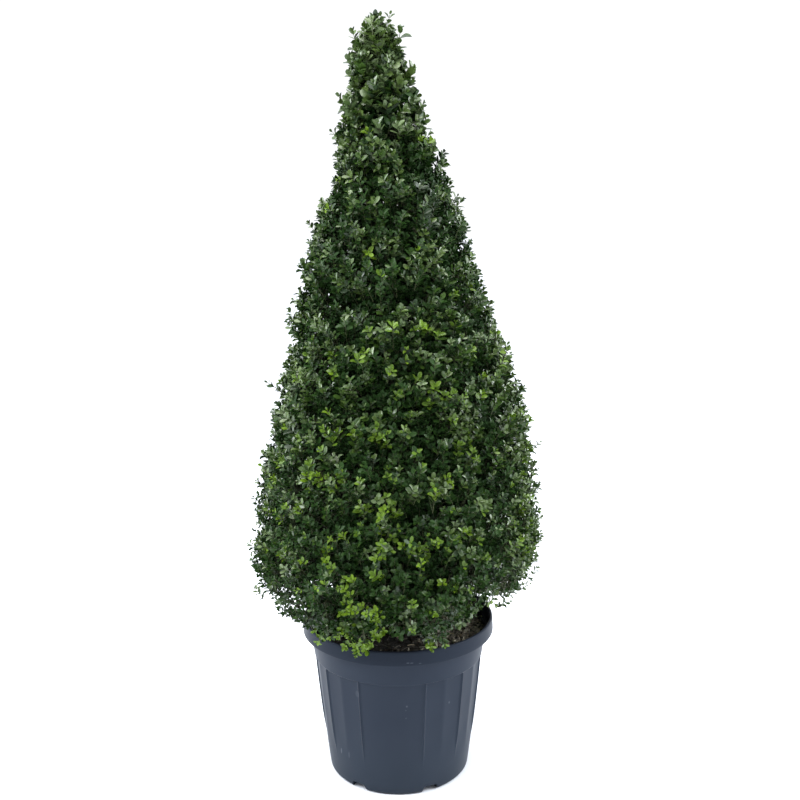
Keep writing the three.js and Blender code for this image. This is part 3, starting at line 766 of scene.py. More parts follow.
bare = thin(tipa, height)
keep = rng.random(len(tips)) > np.maximum(0.50 * np.maximum(bare, 0.6 * gloom(tipa, height)), 0.30 * smooth(1.50, 1.70, height))
tips, tipn, tipa, is_under, owner, dist, proud, sink, sunk, room, height, radial, bare = (
    v[keep] for v in (tips, tipn, tipa, is_under, owner, dist, proud, sink, sunk, room, height, radial, bare))
tips = tips - tipn * (0.022 * bare * rng.random(len(tips)))[:, None]

# Which way each shoot points: out of the face and upward, fanned from its tuft.
fan = unit(tips - (tuft_p[owner] - tuft_n[owner] * 0.07))
lift = np.where(is_under, -0.10, 0.95 + 0.20 * smooth(1.55, 1.80, height) - 0.75 * smooth(0.53, 0.43, height))
aim = 0.70 * tipn + 0.35 * fan + lift[:, None] * up + rng.normal(0, 0.28, tips.shape)
aim = np.where(is_under[:, None], 0.9 * radial + 0.15 * fan + 0.12 * up + rng.normal(0, 0.30, tips.shape), aim)
aim = unit(aim)
length = rng.uniform(0.036, 0.058, len(tips)) * np.clip(room, 0.6, 1)

# A few sprigs that escaped the shears: angle, height, how far they stand out.
SPRIGS = [(180, 1.662, 0.015), (176, 1.580, 0.020), (181, 0.975, 0.040), (2, 0.640, 0.012), (350, 0.500, 0.030),
          (60, 1.20, 0.030), (120, 0.80, 0.034), (95, 1.48, 0.026), (300, 1.31, 0.020), (20, 1.42, 0.022), (250, 0.95, 0.022),
          (40, 0.66, 0.030), (140, 1.10, 0.028), (205, 0.62, 0.026), (172, 0.50, 0.022), (335, 0.92, 0.024), (355, 0.428, 0.003), (287, 0.415, 0.004), (249, 0.405, 0.004), (232, 0.430, 0.004),
          (2, 0.825, 0.026), (20, 1.842, 0.013), (165, 1.812, 0.010), (338, 1.806, 0.012), (262, 1.825, 0.008), (80, 1.830, 0.010)]
sa = np.radians([s[0] for s in SPRIGS])
sz = np.array([s[1] for s in SPRIGS])
_, _, sp_, sn = face(sa, sz)
sprig_tip = sp_ + (sn * 0.8 + up * 0.5) * np.array([[s[2]] for s in SPRIGS])
sprig_aim = unit(sn * 0.9 + up * 0.65 + rng.normal(0, 0.15, sn.shape))
FORCED = [16, 17, 18, 19]
sprig_aim[-5:] = unit(sn[-5:] * 0.35 + up)
sprig_aim[FORCED] = unit(sn[FORCED] * 0.5 + up * 0.30 + np.array([0.0, -0.7, 0.0]))
tips = np.concatenate([tips, sprig_tip])
aim = np.concatenate([aim, sprig_aim])
length = np.concatenate([length, np.full(len(SPRIGS), 0.075)])
j, _ = nearest(sprig_tip, tuft_p)
owner = np.concatenate([owner, j])
is_under = np.concatenate([is_under, np.zeros(len(SPRIGS), bool)])
tipn = np.concatenate([tipn, sn])
tipa = np.concatenate([tipa, sa])
bare = np.concatenate([bare, np.zeros(len(sa))])
proud = np.concatenate([proud, np.ones(len(SPRIGS), bool)])

n_main = len(tips)
hz = tips[:, 2]
deg = np.degrees(tipa) % 360
bias = lambda c, s: np.exp(-(((deg - c + 180) % 360 - 180) / s) ** 2)
patch = np.array([noise.noise(Vector(p) * 11.0) for p in tips.tolist()])
patch2 = np.array([noise.noise(Vector(p) * 4.5 + Vector((9, 3, 5))) for p in tips.tolist()])
u = rng.random(n_main)
shade = gloom(tipa, hz)
strings = np.array([noise.noise(Vector((q[0] * 24, q[1] * 24, q[2] * 8))) for q in tips.tolist()])

# Fresh sprays: more low down in front, and where the crown stands proud.
fresh_p = 0.14 + 0.30 * bias(264, 58) * smooth(1.00, 0.60, hz) + 0.12 * bias(75, 60) * smooth(1.2, 0.6, hz) \
    + 0.15 * bias(268, 50) + 0.85 * bias(251, 19) * smooth(0.63, 0.56, hz) \
    + 0.22 * bias(277, 24) * smooth(0.60, 0.68, hz) * smooth(0.98, 0.84, hz) + 0.10 * (patch > 0.12) + 0.06 * proud - 0.05 * (patch < -0.15)
fresh_p = np.where(is_under, 0.05, fresh_p) * (1 - 0.8 * bare) * (1 - 0.25 * smooth(1.45, 1.70, hz))
sunk = np.clip(np.concatenate([sunk, np.full(n_main - len(sunk), -0.01)]), -0.02, 0.04)
band = smooth(1.15, 0.92, hz) * bias(268, 75)
fresh_p = fresh_p * np.clip(1.15 - sunk / 0.020, 0.05, 1.2) * (1 - 0.85 * shade) * (1 - band + band * np.clip(0.78 + 2.8 * strings, 0.10, 2.4))
fresh = rng.random(n_main) < fresh_p
fresh[[n_main - len(SPRIGS) + k for k in FORCED]] = True
# They stand a little proud and open flat towards the light.
rosette = fresh & ~is_under & (np.arange(n_main) < n_main - len(SPRIGS))
aim[rosette] = unit(0.60 * aim[rosette] + 0.42 * tipn[rosette] + 0.25 * up + rng.normal(0, 0.22, (rosette.sum(), 3)))
tips[rosette] += tipn[rosette] * rng.uniform(0.000, 0.0055, (rosette.sum(), 1))

# Second layer, deeper in, that closes the view into the crown.
ad, zd, pd_, nd = on_face(26000)
keep = (zd > skirt_level(ad) + 0.02) & (crown_half(zd) > 0.075)
ad, zd, pd_, nd = ad[keep], zd[keep], pd_[keep], nd[keep]
sd = scatter(pd_, 0.0190)
ad, zd, pd_, nd = ad[sd], zd[sd], pd_[sd], nd[sd]
deep_in = np.minimum(rng.uniform(0.045, 0.120, len(sd)), 0.66 * crown_half(zd))
keep = rng.random(len(sd)) > 0.75 * thin(ad, zd)
ad, zd, pd_, nd, deep_in = ad[keep], zd[keep], pd_[keep], nd[keep], deep_in[keep]
# ... and a third, larger-leaved, where the crown is wide.
ae, ze, pe, ne = on_face(9000)
keep = (ze > skirt_level(ae) + 0.05) & (crown_half(ze) > 0.16)
ae, ze, pe, ne = ae[keep], ze[keep], pe[keep], ne[keep]
se = scatter(pe, 0.0245)
keep = rng.random(len(se)) > 0.9 * thin(ae[se], ze[se])
se = se[keep]
ad, zd = np.concatenate([ad, ae[se]]), np.concatenate([zd, ze[se]])
pd_, nd = np.concatenate([pd_, pe[se]]), np.concatenate([nd, ne[se]])
n_third = len(se)
deep_in = np.concatenate([deep_in, np.minimum(rng.uniform(0.110, 0.190, n_third), 0.7 * crown_half(ze[se]))])
deep_tip = pd_ - nd * deep_in[:, None]
deep_aim = unit(0.7 * nd + 0.4 * up + rng.normal(0, 0.4, nd.shape))
deep_owner, _ = nearest(pd_, tuft_p)


# -------------------------------------------------------- limbs, branches
def build_wood():
    """Limbs from the trunk, a branch to each tuft, and a stem to each shoot."""
    # Limb ends, halfway out.
    al, zl, pl, nl = on_face(2600)
    ok = zl > 0.47
    al, zl, pl = al[ok], zl[ok], pl[ok]
    sel = scatter(pl, 0.105)
    al, zl = al[sel], zl[sel]
    out = np.stack([np.cos(al), np.sin(al), np.zeros(len(al))], -1)
    rl = crown_radius(al, zl) * rng.uniform(0.45, 0.62, len(al))
    end = heart(zl) + out * rl[:, None]
    z_from = np.clip(zl - rl * rng.uniform(0.7, 1.25, len(al)), 0.392, TRUNK_TOP - 0.01)
    start = heart(z_from)
    # The lowest limbs go on from the boughs' ends.
    be = np.array([b[0] for b in bough_ends])
    bd = np.array([b[1] for b in bough_ends])
    j, d = nearest(end, be)
    take = (d < 0.17) & (end[:, 2] > be[j, 2] - 0.05) & (zl < 0.95)
    start = np.where(take[:, None], be[j] - bd[j] * 0.004, start)
    mid1 = np.where(take[:, None], start + bd[j] * 0.05, start + (0.30 * out + 0.55 * up) * rl[:, None])
    mid2 = end - (0.55 * out + 0.30 * up) * (0.35 * rl)[:, None] + rng.normal(0, 0.006, end.shape)
    limb = bezier(start, mid1, mid2, end, 9)
    limb[:, 1:-1] += rng.normal(0, 0.0022, limb[:, 1:-1].shape)
    r_a = np.where(take, 0.0052, np.minimum(0.0050, 0.75 * trunk_radius(z_from)))
    limb_r = r_a[:, None] * np.linspace(1, 0.42, 9)[None]
    v1, t1 = tubes(limb, limb_r, 6)

    # A branch to each tuft's heart.
    half = crown_half(tuft_p[:, 2])
    hub_in = np.minimum(0.062, 0.5 * half)
    hub = tuft_p - tuft_n * hub_in[:, None] - up * (0.018 * np.clip(half / 0.1, 0, 1))[:, None]
    nodes = limb[:, 3:].reshape(-1, 3)
    node_r = limb_r[:, 3:].reshape(-1)
    node_t = unit(np.gradient(limb, axis=1))[:, 3:].reshape(-1, 3)
    top_z = np.linspace(0.60, TRUNK_TOP - 0.004, 110)
    nodes = np.concatenate([nodes, heart(top_z)])
    node_r = np.concatenate([node_r, np.minimum(trunk_radius(top_z), 0.003)])
    node_t = np.concatenate([node_t, np.tile(up, (len(top_z), 1))])
    best = np.empty(len(hub), int)
    hub_c = heart(hub[:, 2])
    hub_d = np.hypot(hub[:, 0] - hub_c[:, 0], hub[:, 1] - hub_c[:, 1])
    nc = heart(nodes[:, 2])
    node_d = np.hypot(nodes[:, 0] - nc[:, 0], nodes[:, 1] - nc[:, 1])
    for i in range(len(hub)):
        dv = hub[i] - nodes
        cost = np.linalg.norm(dv, axis=1) + 1.6 * np.maximum(0, nodes[:, 2] - hub[i, 2] + 0.012) + 1.2 * np.maximum(0, node_d - hub_d[i])
        best[i] = cost.argmin()
    a = nodes[best]
    gapv = np.linalg.norm(hub - a, axis=1, keepdims=True)
    spine_end = tuft_p - tuft_n * (0.030 * np.clip(half / 0.1, 0.3, 1))[:, None]
    b = a + unit(0.6 * node_t[best] + 0.6 * unit(hub - a)) * gapv * 0.33
    c = hub - unit(tuft_n + 0.5 * up) * np.minimum(gapv, 0.05) * 0.5
    first = bezier(a, b, c, hub, 6)
    first[:, 1:-1] += rng.normal(0, 0.0016, first[:, 1:-1].shape)
    path = np.concatenate([first, ((hub + spine_end) / 2 + rng.normal(0, 0.002, hub.shape))[:, None], spine_end[:, None]], 1)
    r0 = np.minimum(0.0024, 0.85 * node_r[best])
    prof = np.array([1, 0.95, 0.88, 0.8, 0.72, 0.65, 0.5, 0.36])
    v2, t2 = tubes(path, r0[:, None] * prof[None], 4)

    # Stems.
    every_tip = np.concatenate([tips, deep_tip])
    every_aim = np.concatenate([aim, deep_aim])
    every_len = np.concatenate([length, np.full(len(deep_tip), 0.040)])
    own = np.concatenate([owner, deep_owner])
    along = rng.uniform(0.0, 1.0, len(own))[:, None]
    foot = np.where(along < 0.5, path[own, 5] + (path[own, 6] - path[own, 5]) * along * 2,
                    path[own, 6] + (path[own, 7] - path[own, 6]) * (along * 2 - 1))
    low = every_tip - unit(every_aim + 0.25 * up) * every_len[:, None]
    knee = every_tip - every_aim * (0.5 * every_len)[:, None] - up * 0.0012
    a, d = foot, low
    stem = np.concatenate([a[:, None], ((a + d) / 2 - up * 0.003 + rng.normal(0, 0.0015, a.shape))[:, None],
                           d[:, None], knee[:, None], every_tip[:, None]], 1)
    m = len(tips)
    thick = np.where(np.arange(m) < m - len(SPRIGS), 1.0, 1.6)[:, None]
    v3, t3 = tubes(stem[:m], np.array([[0.00105, 0.00095, 0.00082, 0.00072, 0.00045]]) * thick, 3)
    per = len(t3) // m
    green = np.zeros((m, per), int)
    green[:, (np.arange(per) % 12) // 3 >= 2] = 1          # the two outer lengths of each stem are green
    green[rng.random(m) < 0.25] = 1
    v4, t4 = tubes(stem[m:][:, [0, 2, 4]], np.tile(np.array([0.0011, 0.0009, 0.0005]), (len(stem) - m, 1)), 3)
    green = np.concatenate([green.ravel(), np.zeros(len(t4), int)])
    return (v1, t1), (v2, t2), (np.concatenate([v3, v4]), np.concatenate([t3, t4 + len(v3)]), green), stem


(v1, t1), (v2, t2), (v3, t3, g3), stems = build_wood()
wood = mesh_piece("limbs_and_branches", np.concatenate([v1, v2]), np.concatenate([t1, t2 + len(v1)]), [branch_grey])


# --------------------------------------------------------------- leaves
def leaf_blank(rich):
    """One leaf, 1 long along X, face up along Z, Y in units of its half width."""
    if rich:
        pts = [(0, 0, 0), (0.27, 0.72, 0.07), (0.58, 1.0, 0.120), (0.86, 0.64, 0.060), (1.0, 0, -0.040),
               (0.86, -0.64, 0.060), (0.58, -1.0, 0.120), (0.27, -0.72, 0.07), (0.54, 0, 0.0)]
        tri = [(i, 8, (i + 1) % 8) for i in range(8)]
    else:
        pts = [(0, 0, 0), (0.40, 0.95, 0.05), (0.85, 0.75, 0.04), (1.0, 0, -0.02), (0.85, -0.75, 0.04), (0.40, -0.95, 0.05)]
        tri = [(0, 5, 1), (5, 4, 1), (4, 2, 1), (4, 3, 2)]
    return np.array(pts, float), np.array(tri, int)


def leaves_mesh(pos, x, z, size, width, cup, rich=True):
    """Verts and triangles of many leaves."""
    x = unit(x)
    z = unit(z - (z * x).sum(-1, keepdims=True) * x)
    y = np.cross(z, x)
    pts, tri = leaf_blank(rich)
    L = size[:, None, None]
    v = (pos[:, None, :] + L * pts[None, :, 0:1] * x[:, None, :]
         + L * width[:, None, None] * pts[None, :, 1:2] * y[:, None, :]
         + L * (cup[:, None, None] * pts[None, :, 2:3]) * z[:, None, :])
    t = tri[None] + (np.arange(len(pos)) * len(pts))[:, None, None]
    return v.reshape(-1, 3), t.reshape(-1, 3)


def grow_leaves(stem, which, pairs, gaps, base_len, tones, tip_tones, open_angle, lit):
    """Opposite pairs, each turned a quarter from the last, up the outer part of each stem.
    Returns leaf arrays and the spray they belong to."""
    out = []
    n = len(stem)
    tip, knee, low = stem[:, 4], stem[:, 3], stem[:, 2]
    seg1 = np.linalg.norm(tip - knee, axis=1)
    spin = rng.random(n) * math.pi
    for k in range(int(pairs.max())):
        on = np.nonzero(pairs > k)[0]
        # Distance back from the tip.
        back = (gaps[on] * (k + 0.15 * (k > 0)) * np.minimum(1, 0.62 + 0.13 * k)) + rng.normal(0, 0.0005, len(on))
        back = np.clip(back, 0, None)
        s = seg1[on]
        t1_ = np.clip(back / np.maximum(s, 1e-6), 0, 1)[:, None]
        t2_ = np.clip((back - s) / np.maximum(np.linalg.norm(knee[on] - low[on], axis=1), 1e-6), 0, 1)[:, None]
        p = np.where((back <= s)[:, None], tip[on] + (knee[on] - tip[on]) * t1_, knee[on] + (low[on] - knee[on]) * t2_)
        d = unit(np.where((back <= s)[:, None], tip[on] - knee[on], knee[on] - low[on]))
        ref = np.where(np.abs(d[:, 2:3]) > 0.93, np.array([1.0, 0, 0]), np.array([0, 0, 1.0]))
        e1 = unit(np.cross(d, ref))
        e2 = np.cross(d, e1)
        for half_turn in (0, 1):
            phi = spin[on] + k * math.pi / 2 + half_turn * math.pi + rng.normal(0, 0.16, len(on))
            sidev = np.cos(phi)[:, None] * e1 + np.sin(phi)[:, None] * e2
            ang = np.radians(open_angle[on] * (0.45 if k == 0 else min(1.0, 0.68 + 0.13 * k)) + rng.normal(0, 8, len(on)))
            x = d * np.cos(ang)[:, None] + sidev * np.sin(ang)[:, None]
            z = d - (d * x).sum(-1, keepdims=True) * x
            # Blades turn their faces a little to the light.
            z = unit(z) + 0.50 * lit[on] + rng.normal(0, 0.35, x.shape)
            grow = (0.50, 0.80, 0.96, 1.0, 0.97, 0.92, 0.88)[min(k, 6)]
            size = base_len[on] * grow * rng.uniform(0.82, 1.16, len(on))
            width = rng.uniform(0.255, 0.318, len(on)) * (1 + 0.14 * smooth(1.45, 1.70, p[:, 2])) * (0.92 if k == 0 else 1.0)
            cup = rng.uniform(-0.4, 2.6, len(on))
            tone = np.where(k < tip_tones[1][on], tip_tones[0][on], tones[on])
            tone = np.where(rng.random(len(on)) < 0.26, NEXT_TONE[tone, rng.integers(0, 2, len(on))], tone)
            out.append((p + x * 0.0008, x, z, size, width, cup, tone, which[on]))
    return [np.concatenate([o[i] for o in out]) for i in range(8)]


main_stem, deep_stem = stems[:n_main], stems[n_main:]
tone = np.full(n_main, MID)
# Painted shade: more dark leaves in the middle of the front, low down and again higher up, where less light falls.
heart_painted_shade = bias(268, 55) * (0.52 * smooth(0.95, 0.80, hz) + 0.46 * smooth(1.18, 1.28, hz) * smooth(1.62, 1.52, hz))
tone[u < 0.45 + heart_painted_shade] = DARK
# Slate leaves are partly the leaves' own greyish tone at random, partly painted sheen, with more of them on the left
# side and towards the top.
slate = rng.random(n_main) < (0.14 + 0.20 * bias(185, 50) + 0.14 * smooth(1.3, 1.7, hz) + 0.22 * patch2)
tone[slate] = SLATE
# Painted shade: low on the left-hand front, most leaves are dark.
tone[(rng.random(n_main) < 0.90 * bias(198, 44) * smooth(0.84, 0.66, hz)) & (tone != DEEP)] = DARK
# Painted light: low on the right-hand side, about half the dark leaves are lightened to mid tone, where the side light
# falls.
tone[(rng.random(n_main) < 0.5 * bias(0, 50) * smooth(1.05, 0.85, hz)) & (tone == DARK)] = MID
tone[(rng.random(n_main) < 0.12) & (patch > -0.1)] = SOFT
# Sunk leaves take the dark and deep tones: partly the darker green of old leaves, partly painted shade in the hollows.
tone[(sunk > 0.012)] = DARK
tone[(sunk > 0.020)] = DEEP
tone[is_under] = DARK
tip_tone = tone.copy()
high = smooth(1.54, 1.74, hz)
tip_n = np.full(n_main, 2)
kind = rng.random(n_main)
kind[[n_main - len(SPRIGS) + k for k in FORCED]] = 0.0
tip_tone[fresh] = np.where(kind[fresh] < (0.10 + 0.36 * bias(262, 60) * smooth(1.00, 0.72, hz) + 0.50 * bias(251, 19) * smooth(0.63, 0.56, hz))[fresh], LIME, np.where(kind[fresh] < (0.06 + 0.80 * bias(265, 62) * smooth(1.40, 1.05, hz))[fresh], FRESH, np.where(kind[fresh] < 0.85, LIGHT, PALE_SHEEN)))
tip_n[fresh] = rng.integers(2, 5, fresh.sum())
tip_n[[n_main - len(SPRIGS) + k for k in FORCED]] = 5
washed = fresh & (rng.random(n_main) < 0.5 * high)
tip_tone[washed] = LIGHT
tip_n[washed] = 5
# Pale tips of new growth on the outer sprays. How many there are, place by place, is partly painted light and shade:
# fewer in the middle of the front, low on the left and in the shaded places, more on the left flank, low on the right
# and towards the top.
near_fresh = ~fresh & (rng.random(n_main) < 0.64 + 0.25 * smooth(1.4, 1.65, hz) - 0.30 * bias(335, 45) * smooth(1.20, 1.32, hz) * smooth(1.66, 1.56, hz) - 0.4 * bare - 0.50 * shade - 0.62 * bias(268, 60) * smooth(1.0, 0.75, hz) + 0.30 * bias(200, 40) * smooth(0.98, 1.06, hz) * smooth(1.36, 1.26, hz) - 0.62 * bias(268, 55) * smooth(1.18, 1.26, hz) * smooth(1.60, 1.48, hz) - 0.62 * bias(205, 48) * smooth(0.82, 0.64, hz) + 0.26 * bias(355, 48) * smooth(1.28, 1.10, hz) + 0.16 * bias(200, 42) * smooth(1.26, 1.34, hz) * smooth(1.62, 1.54, hz)) & (sunk < 0.013) & ~is_under
pick3 = rng.random(near_fresh.sum())
# Painted sheen: more of these tips are pale from the middle height up and on the left.
painted_sheen_part = (0.06 + 0.15 * np.maximum(smooth(0.95, 1.10, hz), bias(190, 60)))[near_fresh]
tip_tone[near_fresh] = np.where(pick3 < 0.60 - painted_sheen_part, LIGHT, np.where(pick3 < 0.60, PALE_SHEEN, np.where(pick3 < 0.82, SOFT, MID)))
# Painted light: low on the right flank, and a little on the left, sprays get pale, fresh and light tips and their dark
# leaves turn mid, where the side lights fall.
side_painted_light_p = (0.74 * bias(0, 50) * (1 - shade) + 0.20 * bias(185, 50) * smooth(0.58, 0.74, hz)) * smooth(1.25, 1.0, hz)
side_painted_light = ~fresh & (rng.random(n_main) < side_painted_light_p) & (sunk < 0.013)
tip_tone[side_painted_light] = np.where(rng.random(side_painted_light.sum()) < 0.26, PALE_SHEEN, np.where(rng.random(side_painted_light.sum()) < 0.28, FRESH, np.where(rng.random(side_painted_light.sum()) < 0.75, LIGHT, SOFT)))
tip_n[side_painted_light] = 4
tone[side_painted_light & (tone == DARK)] = MID
tip_n[rng.random(n_main) < 0.8 * high] = 6
# Painted sheen: near the top most leaves take soft, pale and slate tones and their tips pale ones, in place of the
# glossy leaves' reflection of the bright overhead.
change = rng.random(n_main)
tone[change < 0.92 * high] = SOFT
tone[change < 0.62 * high] = PALE_SHEEN
tone[change < 0.30 * high] = SLATE
top_painted_sheen = (tip_tone <= SOFT) & (rng.random(n_main) < 0.85 * high)
tip_tone[top_painted_sheen] = np.where(rng.random(top_painted_sheen.sum()) < 0.84, PALE_SHEEN, np.where(rng.random(top_painted_sheen.sum()) < 0.6, LIGHT, SOFT))
tone[fresh & (tone == DEEP)] = DARK
# Painted shade: in those shaded places many leaves take slate and dark tones.
gloomy = rng.random(n_main) < 0.7 * shade
tone[gloomy] = np.where(rng.random(gloomy.sum()) < 0.5, SLATE, DARK)
pairs = rng.integers(4, 7, n_main)
pairs[bare > 0.45] -= 1
pairs[is_under] = 4
pairs[proud] = 7
gaps = rng.uniform(0.0054, 0.0078, n_main) * (1 + 0.25 * smooth(1.42, 1.68, hz))
gaps[-len(SPRIGS):] = 0.0105
pairs[-len(SPRIGS):] = 7
leaf_len = rng.uniform(0.0140, 0.0184, n_main) * (1 + 0.16 * smooth(0.72, 0.95, hz) * smooth(1.60, 1.40, hz)) * (1 + 0.55 * smooth(1.42, 1.68, hz)) * (1 - 0.15 * np.maximum(bare, shade))
open_angle = np.where(rosette, rng.uniform(50, 68, n_main), rng.uniform(44, 68, n_main))
lit = unit(0.85 * tipn + 0.55 * up)
A = grow_leaves(main_stem, np.arange(n_main), pairs, gaps, leaf_len, tone, (tip_tone, tip_n), open_angle, lit)

nd_ = len(deep_stem)
# The inner leaves are deep or dark: partly the darker green of old leaves, partly painted shade.
dt = np.where(rng.random(nd_) < 0.75, DEEP, DARK)
B = grow_leaves(deep_stem, np.arange(nd_), np.full(nd_, 3), rng.uniform(0.008, 0.011, nd_), np.where(np.arange(nd_) < nd_ - n_third, rng.uniform(0.020, 0.025, nd_), rng.uniform(0.028, 0.034, nd_)),
                dt, (dt, np.full(nd_, 1)), rng.uniform(60, 80, nd_), unit(nd + 0.5 * up))


# ------------------------------------------------ pieces of the foliage
TIERS = [
    ("skirt", 0.0, 0.700, ["foliage_skirt_back", "foliage_skirt_left", "foliage_skirt_front_left", "foliage_skirt_front", "foliage_skirt_right"]),
    ("lower", 0.700, 1.010, ["foliage_lower_back_right", "foliage_lower_back_left", "foliage_lower_front_left", "foliage_lower_front_right"]),
    ("middle", 1.010, 1.330, ["foliage_middle_back", "foliage_middle_left", "foliage_middle_right"]),
    ("top", 1.330, 9.0, ["foliage_upper_left", "foliage_upper_right", "foliage_tip"]),
]
for tier, low_z, high_z, nodes in TIERS:
    hosts = (hz >= low_z) & (hz < high_z)
    sets = [("back", hosts & (tips[:, 1] > 0)), ("front", hosts & (tips[:, 1] <= 0))] if tier in ("skirt", "lower") else [("all", hosts)]
    for s, (part, mine) in enumerate(sets):
        m = mine[A[7]]
        v, t = leaves_mesh(*[x[m] for x in A[:6]])
        name = f"leaves_{tier}" if part == "all" else f"leaves_{tier}_{part}"
        o = mesh_piece(name, v, t, LEAF, np.repeat(A[6][m], 8))
        if s == 0:
            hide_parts(*nodes)
v, t = leaves_mesh(*B[:6], rich=False)
o = mesh_piece("leaves_inner", v, t, LEAF, np.repeat(B[6], 4))
for name, m in (("stems_front", v3[t3[:, 0], 1] <= 0), ("stems_back", v3[t3[:, 0], 1] > 0)):
    used, t = np.unique(t3[m], return_inverse=True)
    o = mesh_piece(name, v3[used], t.reshape(-1, 3), [stem_tan, stem_green], g3[m])


# ------------------------------------------------------ litter on the soil
def build_litter():
    n = 1100
    r = 0.214 * np.sqrt(rng.random(n))
    a = rng.random(n) * 2 * math.pi
    x, y = r * np.cos(a), r * np.sin(a)
    z = np.array([soil_height(p, q) for p, q in zip(x, y)])
    pos = np.stack([x, y, z], -1)
    # Chips: flattened wedges.
    base = np.array([(-1, -1, 0), (1, -0.8, 0), (0.9, 1, 0), (-0.8, 0.9, 0), (-0.7, -0.6, 1), (0.6, -0.5, 1.2), (0.5, 0.7, 0.9), (-0.6, 0.5, 1.1)], float)
    faces = np.array([(0, 2, 1), (0, 3, 2), (4, 5, 6), (4, 6, 7), (0, 1, 5), (0, 5, 4), (1, 2, 6), (1, 6, 5), (2, 3, 7), (2, 7, 6), (3, 0, 4), (3, 4, 7)])
    size = np.stack([rng.uniform(0.0018, 0.0065, n), rng.uniform(0.0012, 0.0034, n), rng.uniform(0.0007, 0.0022, n)], -1)
    yaw = rng.random(n) * 2 * math.pi
    tilt = rng.normal(0, 0.35, n)
    local = base[None] * size[:, None, :] * rng.uniform(0.75, 1.2, (n, 8, 1))
    c, s = np.cos(tilt)[:, None], np.sin(tilt)[:, None]
    lx, lz = local[:, :, 0] * c - local[:, :, 2] * s, local[:, :, 0] * s + local[:, :, 2] * c
    c, s = np.cos(yaw)[:, None], np.sin(yaw)[:, None]
    wx, wy = lx * c - local[:, :, 1] * s, lx * s + local[:, :, 1] * c
    v = np.stack([wx, wy, lz], -1) + pos[:, None, :]
    t = (faces[None] + (np.arange(n) * 8)[:, None, None]).reshape(-1, 3)
    pick = rng.choice(4, n, p=[0.38, 0.36, 0.20, 0.06])
    # Painted shade: chips on the left and in the middle mostly take the dark colours, as the compost does.
    in_painted_shade = (pos[:, 0] < 0.050) & (rng.random(n) < 0.88)
    pick[in_painted_shade] = np.where(rng.random(in_painted_shade.sum()) < 0.8, 0, 1)
    v, idx = v.reshape(-1, 3), np.repeat(pick, 12)
    # Fallen leaves, lying about.
    m = 900
    r = 0.212 * np.sqrt(rng.random(m))
    a = np.where(rng.random(m) < 0.70, rng.normal(-0.1, 0.42, m), rng.random(m) * 2 * math.pi)
    x, y = r * np.cos(a), r * np.sin(a)
    z = np.array([soil_height(p, q) for p, q in zip(x, y)]) + rng.uniform(0.001, 0.005, m)
    yaw = rng.random(m) * 2 * math.pi
    lx = np.stack([np.cos(yaw), np.sin(yaw), rng.normal(0, 0.25, m)], -1)
    nz = np.stack([rng.normal(0, 0.4, m), rng.normal(0, 0.4, m), np.ones(m)], -1)
    lv, lt = leaves_mesh(np.stack([x, y, z], -1), lx, nz, rng.uniform(0.011, 0.018, m), rng.uniform(0.2, 0.29, m), rng.uniform(-1, 3.5, m))
    kinds = rng.choice([4, 5, 3], m, p=[0.42, 0.48, 0.10])
    # Painted shade: fallen leaves there take the dark colours too.
    in_painted_shade = (x < 0.050) & (rng.random(m) < 0.90)
    kinds[in_painted_shade] = np.where(rng.random(in_painted_shade.sum()) < 0.75, 0, 1)
    li = np.repeat(kinds, 8)
    # Dead twigs.
    q = 260
    r = 0.195 * np.sqrt(rng.random(q))
    a = np.where(rng.random(q) < 0.5, rng.normal(-0.25, 0.6, q), rng.random(q) * 2 * math.pi)
    c = np.stack([r * np.cos(a), r * np.sin(a)], -1)
    yaw = rng.random(q) * 2 * math.pi
    half = rng.uniform(0.007, 0.024, q)
    d = np.stack([np.cos(yaw), np.sin(yaw)], -1) * half[:, None]
    bend = np.stack([-np.sin(yaw), np.cos(yaw)], -1) * (rng.normal(0, 0.14, q) * half)[:, None]
    path = []
    for w, (e, lift_) in enumerate(((-1, 0.0015), (0, 0.004), (1, 0.0015))):
        pt = c + d * e + (bend if e == 0 else 0)
        lim = np.minimum(1, 0.213 / np.maximum(np.hypot(pt[:, 0], pt[:, 1]), 1e-6))
        pt = pt * lim[:, None]
        zz = np.array([soil_height(x_, y_) for x_, y_ in pt]) + lift_ + rng.uniform(0, 0.004, q)
        path.append(np.concatenate([pt, zz[:, None]], 1))
    tv, tt = tubes(np.stack(path, 1), np.tile(rng.uniform(0.0005, 0.0012, q)[:, None], (1, 3)), 3)
    kinds = rng.choice([1, 2, 4, 3], q, p=[0.3, 0.25, 0.25, 0.2])
    # Painted shade: and so do the twigs there.
    in_painted_shade = (c[:, 0] < 0.050) & (rng.random(q) < 0.90)
    kinds[in_painted_shade] = np.where(rng.random(in_painted_shade.sum()) < 0.7, 0, 1)
    ti = np.repeat(kinds, len(tt) // q)
    o = mesh_piece("litter", np.concatenate([v, lv, tv]), np.concatenate([t, lt + len(v), tt + len(v) + len(lv)]),
                   [chip_dark, chip_brown, dead_brown, chip_pale, dead_tan, dead_brown], np.concatenate([idx, li, ti]), smoothed=False)


build_litter()


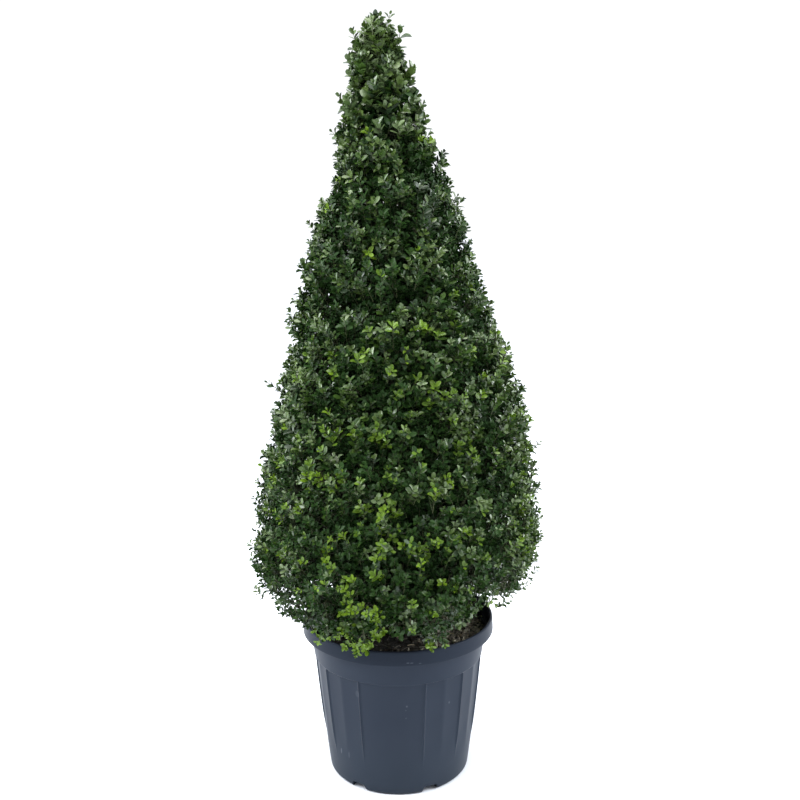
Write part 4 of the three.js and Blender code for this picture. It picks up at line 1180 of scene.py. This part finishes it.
# ------------------------------------------------------- stage and light
def build_stage():
    white = plain("stage_white", (0.860, 0.885, 0.930), 0.9, 0.05)
    me = bpy.data.meshes.new("floor")
    rim = [(45 * math.cos(2 * math.pi * i / 96), 45 * math.sin(2 * math.pi * i / 96), 0) for i in range(96)]
    me.from_pydata(rim, [], [tuple(range(96))])
    me.materials.append(white)
    floor = bpy.data.objects.new("floor", me)
    bpy.context.scene.collection.objects.link(floor)
    # A white room: a little brighter overhead, a little dimmer on the camera's side.
    world = bpy.data.worlds.new("studio")
    bpy.context.scene.world = world
    world.use_nodes = True
    t = world.node_tree
    bg = t.nodes["Background"]
    where = t.nodes.new("ShaderNodeTexCoord")
    split = t.nodes.new("ShaderNodeSeparateXYZ")
    t.links.new(where.outputs["Generated"], split.inputs[0])
    front = t.nodes.new("ShaderNodeMapRange")
    front.interpolation_type = "SMOOTHSTEP"
    front.inputs["From Min"].default_value, front.inputs["From Max"].default_value = -0.95, 0.0
    front.inputs["To Min"].default_value, front.inputs["To Max"].default_value = 0.46, 1.10
    t.links.new(split.outputs["Y"], front.inputs["Value"])
    top = t.nodes.new("ShaderNodeMapRange")
    top.interpolation_type = "SMOOTHSTEP"
    top.inputs["From Min"].default_value, top.inputs["From Max"].default_value = 0.25, 0.95
    top.inputs["To Min"].default_value, top.inputs["To Max"].default_value = 1.0, 1.85
    t.links.new(split.outputs["Z"], top.inputs["Value"])
    times = t.nodes.new("ShaderNodeMath")
    times.operation = "MULTIPLY"
    t.links.new(front.outputs[0], times.inputs[0])
    t.links.new(top.outputs[0], times.inputs[1])
    bg.inputs["Color"].default_value = (0.985, 1.0, 1.025, 1)
    t.links.new(times.outputs[0], bg.inputs["Strength"])

    def area(name, place, target, size, power, color=(1, 1, 1)):
        d = bpy.data.lights.new(name, "AREA")
        d.shape, d.size, d.energy, d.color = "DISK", size, power, color
        o = bpy.data.objects.new(name, d)
        bpy.context.scene.collection.objects.link(o)
        o.location = place
        o.rotation_mode = "QUATERNION"
        o.rotation_quaternion = (Vector(target) - Vector(place)).to_track_quat("-Z", "Y")

    area("overhead", (-0.7, -0.9, 4.4), (0, 0, 0.9), 3.4, 168, (1.0, 0.99, 0.96))
    area("left", (-3.4, -0.5, 2.5), (0, 0, 0.9), 1.8, 128, (0.95, 0.98, 1.03))
    area("right", (3.4, -0.2, 2.0), (0, 0, 0.8), 1.8, 132, (0.95, 0.98, 1.02))
    bpy.context.scene.view_settings.view_transform = "Standard"


build_stage()
